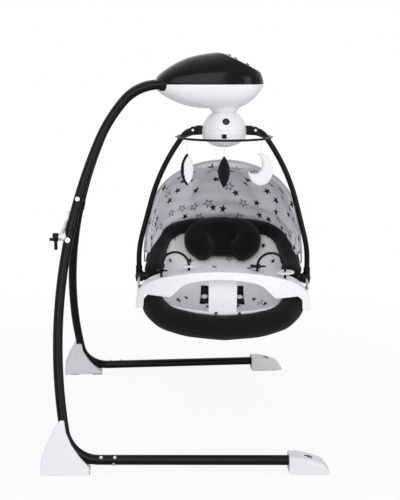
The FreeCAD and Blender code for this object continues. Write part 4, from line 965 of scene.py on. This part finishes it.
mark("power_mark", "power_button", "power_key", [(2.6 * math.cos(a), 2.6 * math.sin(a))
                                                   for a in (math.pi * k / 5 for k in range(10))])
mark("speed_mark", "speed_button", "speed_key", [(-2.6, 0), (0, 0), (2.6, 0)])
mark("music_mark", "music_button", "music_key", [(0, -2.8), (0, -1.4), (0, 0), (0, 1.4), (0, 2.8),
                                                   (-2.8, 0), (-1.4, 0), (1.4, 0), (2.8, 0)])

# %% [markdown]
# ## Harness
#
# Webbing is woven flat and stiff, and lies on the liner.  Each strap is a ribbon whose middle line
# is dropped on the liner from above.

# %% Harness straps
surface = BVHTree.FromPolygons([v.co for v in liner.data.vertices],
                               [f.vertices[:] for f in liner.data.polygons])


def on_liner(x, y, lift_mm):
    """Point above the liner, in the object's frame, for a place in the seat's frame."""
    start = SEAT @ Vector((x, y, 560))
    hit, normal, _, _ = surface.ray_cast(start, Vector((0, 0, -1)))
    if hit is None:
        raise ValueError("no liner under %.0f, %.0f" % (x, y))
    return hit + normal * lift_mm * MM, normal


def strap(name, places, width_mm, thick_mm=1.8):
    """A ribbon that follows places (x, y) in the seat's frame."""
    bm = bmesh.new()
    rows = []
    for i, (x, y) in enumerate(places):
        here, normal = on_liner(x, y, 1.2)
        ahead = places[min(i + 1, len(places) - 1)]
        behind = places[max(i - 1, 0)]
        along = (on_liner(*ahead, 1.2)[0] - on_liner(*behind, 1.2)[0]).normalized()
        across = along.cross(normal).normalized() * (width_mm / 2 * MM)
        rows.append([bm.verts.new(here - across), bm.verts.new(here), bm.verts.new(here + across)])
    for a, b in zip(rows, rows[1:]):
        for k in (0, 1):
            bm.faces.new([a[k], a[k + 1], b[k + 1], b[k]]).smooth = True
    bm.normal_update()
    obj = link(name, bpy.data.meshes.new(name))
    bm.to_mesh(obj.data)
    bm.free()
    solid = obj.modifiers.new("webbing", "SOLIDIFY")
    solid.thickness = thick_mm * MM
    solid.offset = 0.0
    bevel = obj.modifiers.new("edge", "BEVEL")
    bevel.width = 0.5 * MM
    bake(obj)
    set_material(obj, WEBBING)
    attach(obj, "seat")
    return obj


strap("left_shoulder_strap", [(-52, y) for y in range(42, 114, 6)], 24)
strap("right_shoulder_strap", [(52, y) for y in range(42, 114, 6)], 24)
waist = strap("waist_strap", [(x, 42) for x in range(-66, 67, 6)], 22)
strap("crotch_strap", [(0, y) for y in range(-98, 40, 6)], 24)
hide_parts("harness")

# %% [markdown]
# The straps meet in a buckle over the crotch strap: a rounded plate with a round release button.

# %% Buckle
plate_place, plate_up = on_liner(0, 40, 3.0)
turned_part("buckle_body", [(0, -2), (19, -2), (20.5, -0.5), (20.5, 4.5), (19, 6.5), (0, 7.0)],
            plate_place, plate_up, "seat", GREY_ACETAL)
turned_part("buckle_release", [(0, 6), (9.5, 6), (9.5, 8.2), (8.0, 9.4), (0, 9.8)],
            plate_place, plate_up, "seat", WHITE_ABS)
for side, name in ((-1, "left"), (1, "right")):
    place, up = on_liner(side * 52, 62, 3.2)
    turned_part(name + "_strap_slider", [(0, -1.5), (8.5, -1.5), (9.5, 0), (9.5, 2.0), (8, 3.2), (0, 3.2)],
                place, up, "seat", WHITE_ABS, sides=24)

# %% [markdown]
# ## Stitches
#
# Top stitching holds the canopy's edge round its wire and the liner's rim to the shell.  The
# stitches are laid by one Geometry Nodes tree: it walks a seam line, sets a short thread at each
# step, and gives them their material.  Step, thread length and thickness are its inputs.

# %% Stitch tree
def stitch_tree():
    group = bpy.data.node_groups.new("stitch_row", "GeometryNodeTree")
    sockets = {}
    for name, kind, way in (("Seam", "NodeSocketGeometry", "INPUT"), ("Step", "NodeSocketFloat", "INPUT"),
                            ("Length", "NodeSocketFloat", "INPUT"), ("Radius", "NodeSocketFloat", "INPUT"),
                            ("Thread", "NodeSocketMaterial", "INPUT"),
                            ("Stitches", "NodeSocketGeometry", "OUTPUT")):
        sockets[name] = group.interface.new_socket(name, in_out=way, socket_type=kind).identifier
    source = group.nodes.new("NodeGroupInput")
    result = group.nodes.new("NodeGroupOutput")
    curve = add(group, "GeometryNodeMeshToCurve", Mesh=source.outputs["Seam"])
    walk = add(group, "GeometryNodeCurveToPoints", {"mode": "LENGTH"}, Curve=curve.outputs[0],
               Length=source.outputs["Step"])
    thread = add(group, "GeometryNodeMeshCylinder", {"Vertices": 6}, Radius=source.outputs["Radius"],
                 Depth=source.outputs["Length"])
    laid = add(group, "GeometryNodeInstanceOnPoints", Points=walk.outputs["Points"],
               Instance=thread.outputs["Mesh"], Rotation=walk.outputs["Rotation"])
    real = add(group, "GeometryNodeRealizeInstances", Geometry=laid.outputs[0])
    dyed = add(group, "GeometryNodeSetMaterial", Geometry=real.outputs[0], Material=source.outputs["Thread"])
    group.links.new(dyed.outputs[0], result.inputs[0])
    return group, sockets


STITCHES, STITCH_INPUTS = stitch_tree()


def stitch(name, points, body, material, step_mm, length_mm, radius_mm):
    """A row of stitches along points, as a plain mesh that rides on a body."""
    mesh = bpy.data.meshes.new(name)
    mesh.from_pydata([tuple(p) for p in points], [(i, i + 1) for i in range(len(points) - 1)], [])
    obj = link(name, mesh)
    rows = obj.modifiers.new("stitches", "NODES")
    rows.node_group = STITCHES
    for socket, value in (("Step", step_mm * MM), ("Length", length_mm * MM), ("Radius", radius_mm * MM),
                          ("Thread", material)):
        rows[STITCH_INPUTS[socket]] = value
    bake(obj)
    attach(obj, body)
    return obj


# %% Stitch rows
hem = [SEAT @ canopy_point(c, 2.4, slack(c, 2.4) * 0.4 + 2.4) for c in COLUMNS]
hem_stitches = stitch("canopy_hem_stitches", hem, "canopy", WEBBING, 7.0, 4.2, 0.45)
rim = [RIM @ (p + Vector((0, 0, 3.2))) for p in wall_ring(0.5, 9.0)]
rim_stitches = stitch("liner_rim_stitches", rim, "seat", STRING, 6.0, 3.6, 0.4)
print("stitches:", len(hem_stitches.data.vertices) // 12, "and", len(rim_stitches.data.vertices) // 12)

# %% [markdown]
# ## Room
#
# A pale floor and a white backdrop, lit softly from the front, the right and above.  The floor
# shows the camera mostly its own white, and keeps the swing's faint shadow.

# %% Floor and light
def white_ground():
    material, tree, shader = new_material("studio_floor")
    place = add(tree, "ShaderNodeTexCoord").outputs["Object"]
    grain = add(tree, "ShaderNodeTexNoise", {"Scale": 3.0}, Vector=place)
    tone = add(tree, "ShaderNodeMapRange", {"To Min": 0.86, "To Max": 0.9}, Value=grain.outputs[0])
    feed(tree, tone.outputs[0], shader.inputs["Base Color"])
    shader.inputs["Roughness"].default_value = 0.9
    glow = add(tree, "ShaderNodeEmission", {"Strength": 1.0, "Color": (1, 1, 1, 1)})
    paths = add(tree, "ShaderNodeLightPath")
    away = add(tree, "ShaderNodeVectorMath", {"operation": "LENGTH"}, i0=place)
    white = add(tree, "ShaderNodeMapRange", {"From Min": 0.3, "From Max": 1.6, "To Min": 0.88, "To Max": 1.0},
                Value=away.outputs["Value"])
    share = add(tree, "ShaderNodeMath", {"operation": "MULTIPLY"}, i0=paths.outputs["Is Camera Ray"],
                i1=white.outputs[0])
    mixed = add(tree, "ShaderNodeMixShader", i0=share.outputs[0], i1=shader.outputs[0], i2=glow.outputs[0])
    out = next(n for n in tree.nodes if n.type == "OUTPUT_MATERIAL")
    feed(tree, mixed.outputs[0], out.inputs[0])
    return material


bpy.ops.mesh.primitive_plane_add(size=14.0, location=(0, 0, -0.0006))
floor = bpy.context.object
floor.name = "studio_floor"
set_material(floor, white_ground())

world = bpy.data.worlds.new("studio")
scene.world = world
world.use_nodes = True
tree = world.node_tree
tree.nodes.clear()
paths = add(tree, "ShaderNodeLightPath")
seen = add(tree, "ShaderNodeMath", {"operation": "MAXIMUM"}, i0=paths.outputs["Is Camera Ray"],
           i1=paths.outputs["Is Glossy Ray"])
shown = add(tree, "ShaderNodeMath", {"operation": "MAXIMUM"}, i0=seen.outputs[0],
            i1=paths.outputs["Is Transmission Ray"])
strength = add(tree, "ShaderNodeMapRange", {"To Min": 0.52, "To Max": 1.0}, Value=shown.outputs[0])
sky = add(tree, "ShaderNodeBackground", {"Color": (1, 1, 1, 1)}, Strength=strength.outputs[0])
out = add(tree, "ShaderNodeOutputWorld", Surface=sky.outputs[0])


def soft_box(name, place, target, size, power):
    lamp = bpy.data.lights.new(name, "AREA")
    lamp.shape = "RECTANGLE"
    lamp.size, lamp.size_y = size
    lamp.energy = power
    obj = bpy.data.objects.new(name, lamp)
    obj.location = place
    obj.rotation_euler = (Vector(target) - Vector(place)).to_track_quat("-Z", "Y").to_euler()
    scene.collection.objects.link(obj)
    return obj


soft_box("front_light", (-0.5, -2.7, 2.1), (0.12, 0, 0.45), (2.2, 1.6), 27)
soft_box("fill_light", (-0.3, -3.3, 0.9), (0.1, 0, 0.45), (2.0, 1.2), 12)
soft_box("right_light", (2.2, -2.0, 1.2), (0.1, 0, 0.5), (0.9, 1.6), 14)
soft_box("top_light", (-0.4, 0.3, 2.9), (0, 0, 0.5), (2.0, 2.0), 4)
scene.view_settings.view_transform = "Standard"
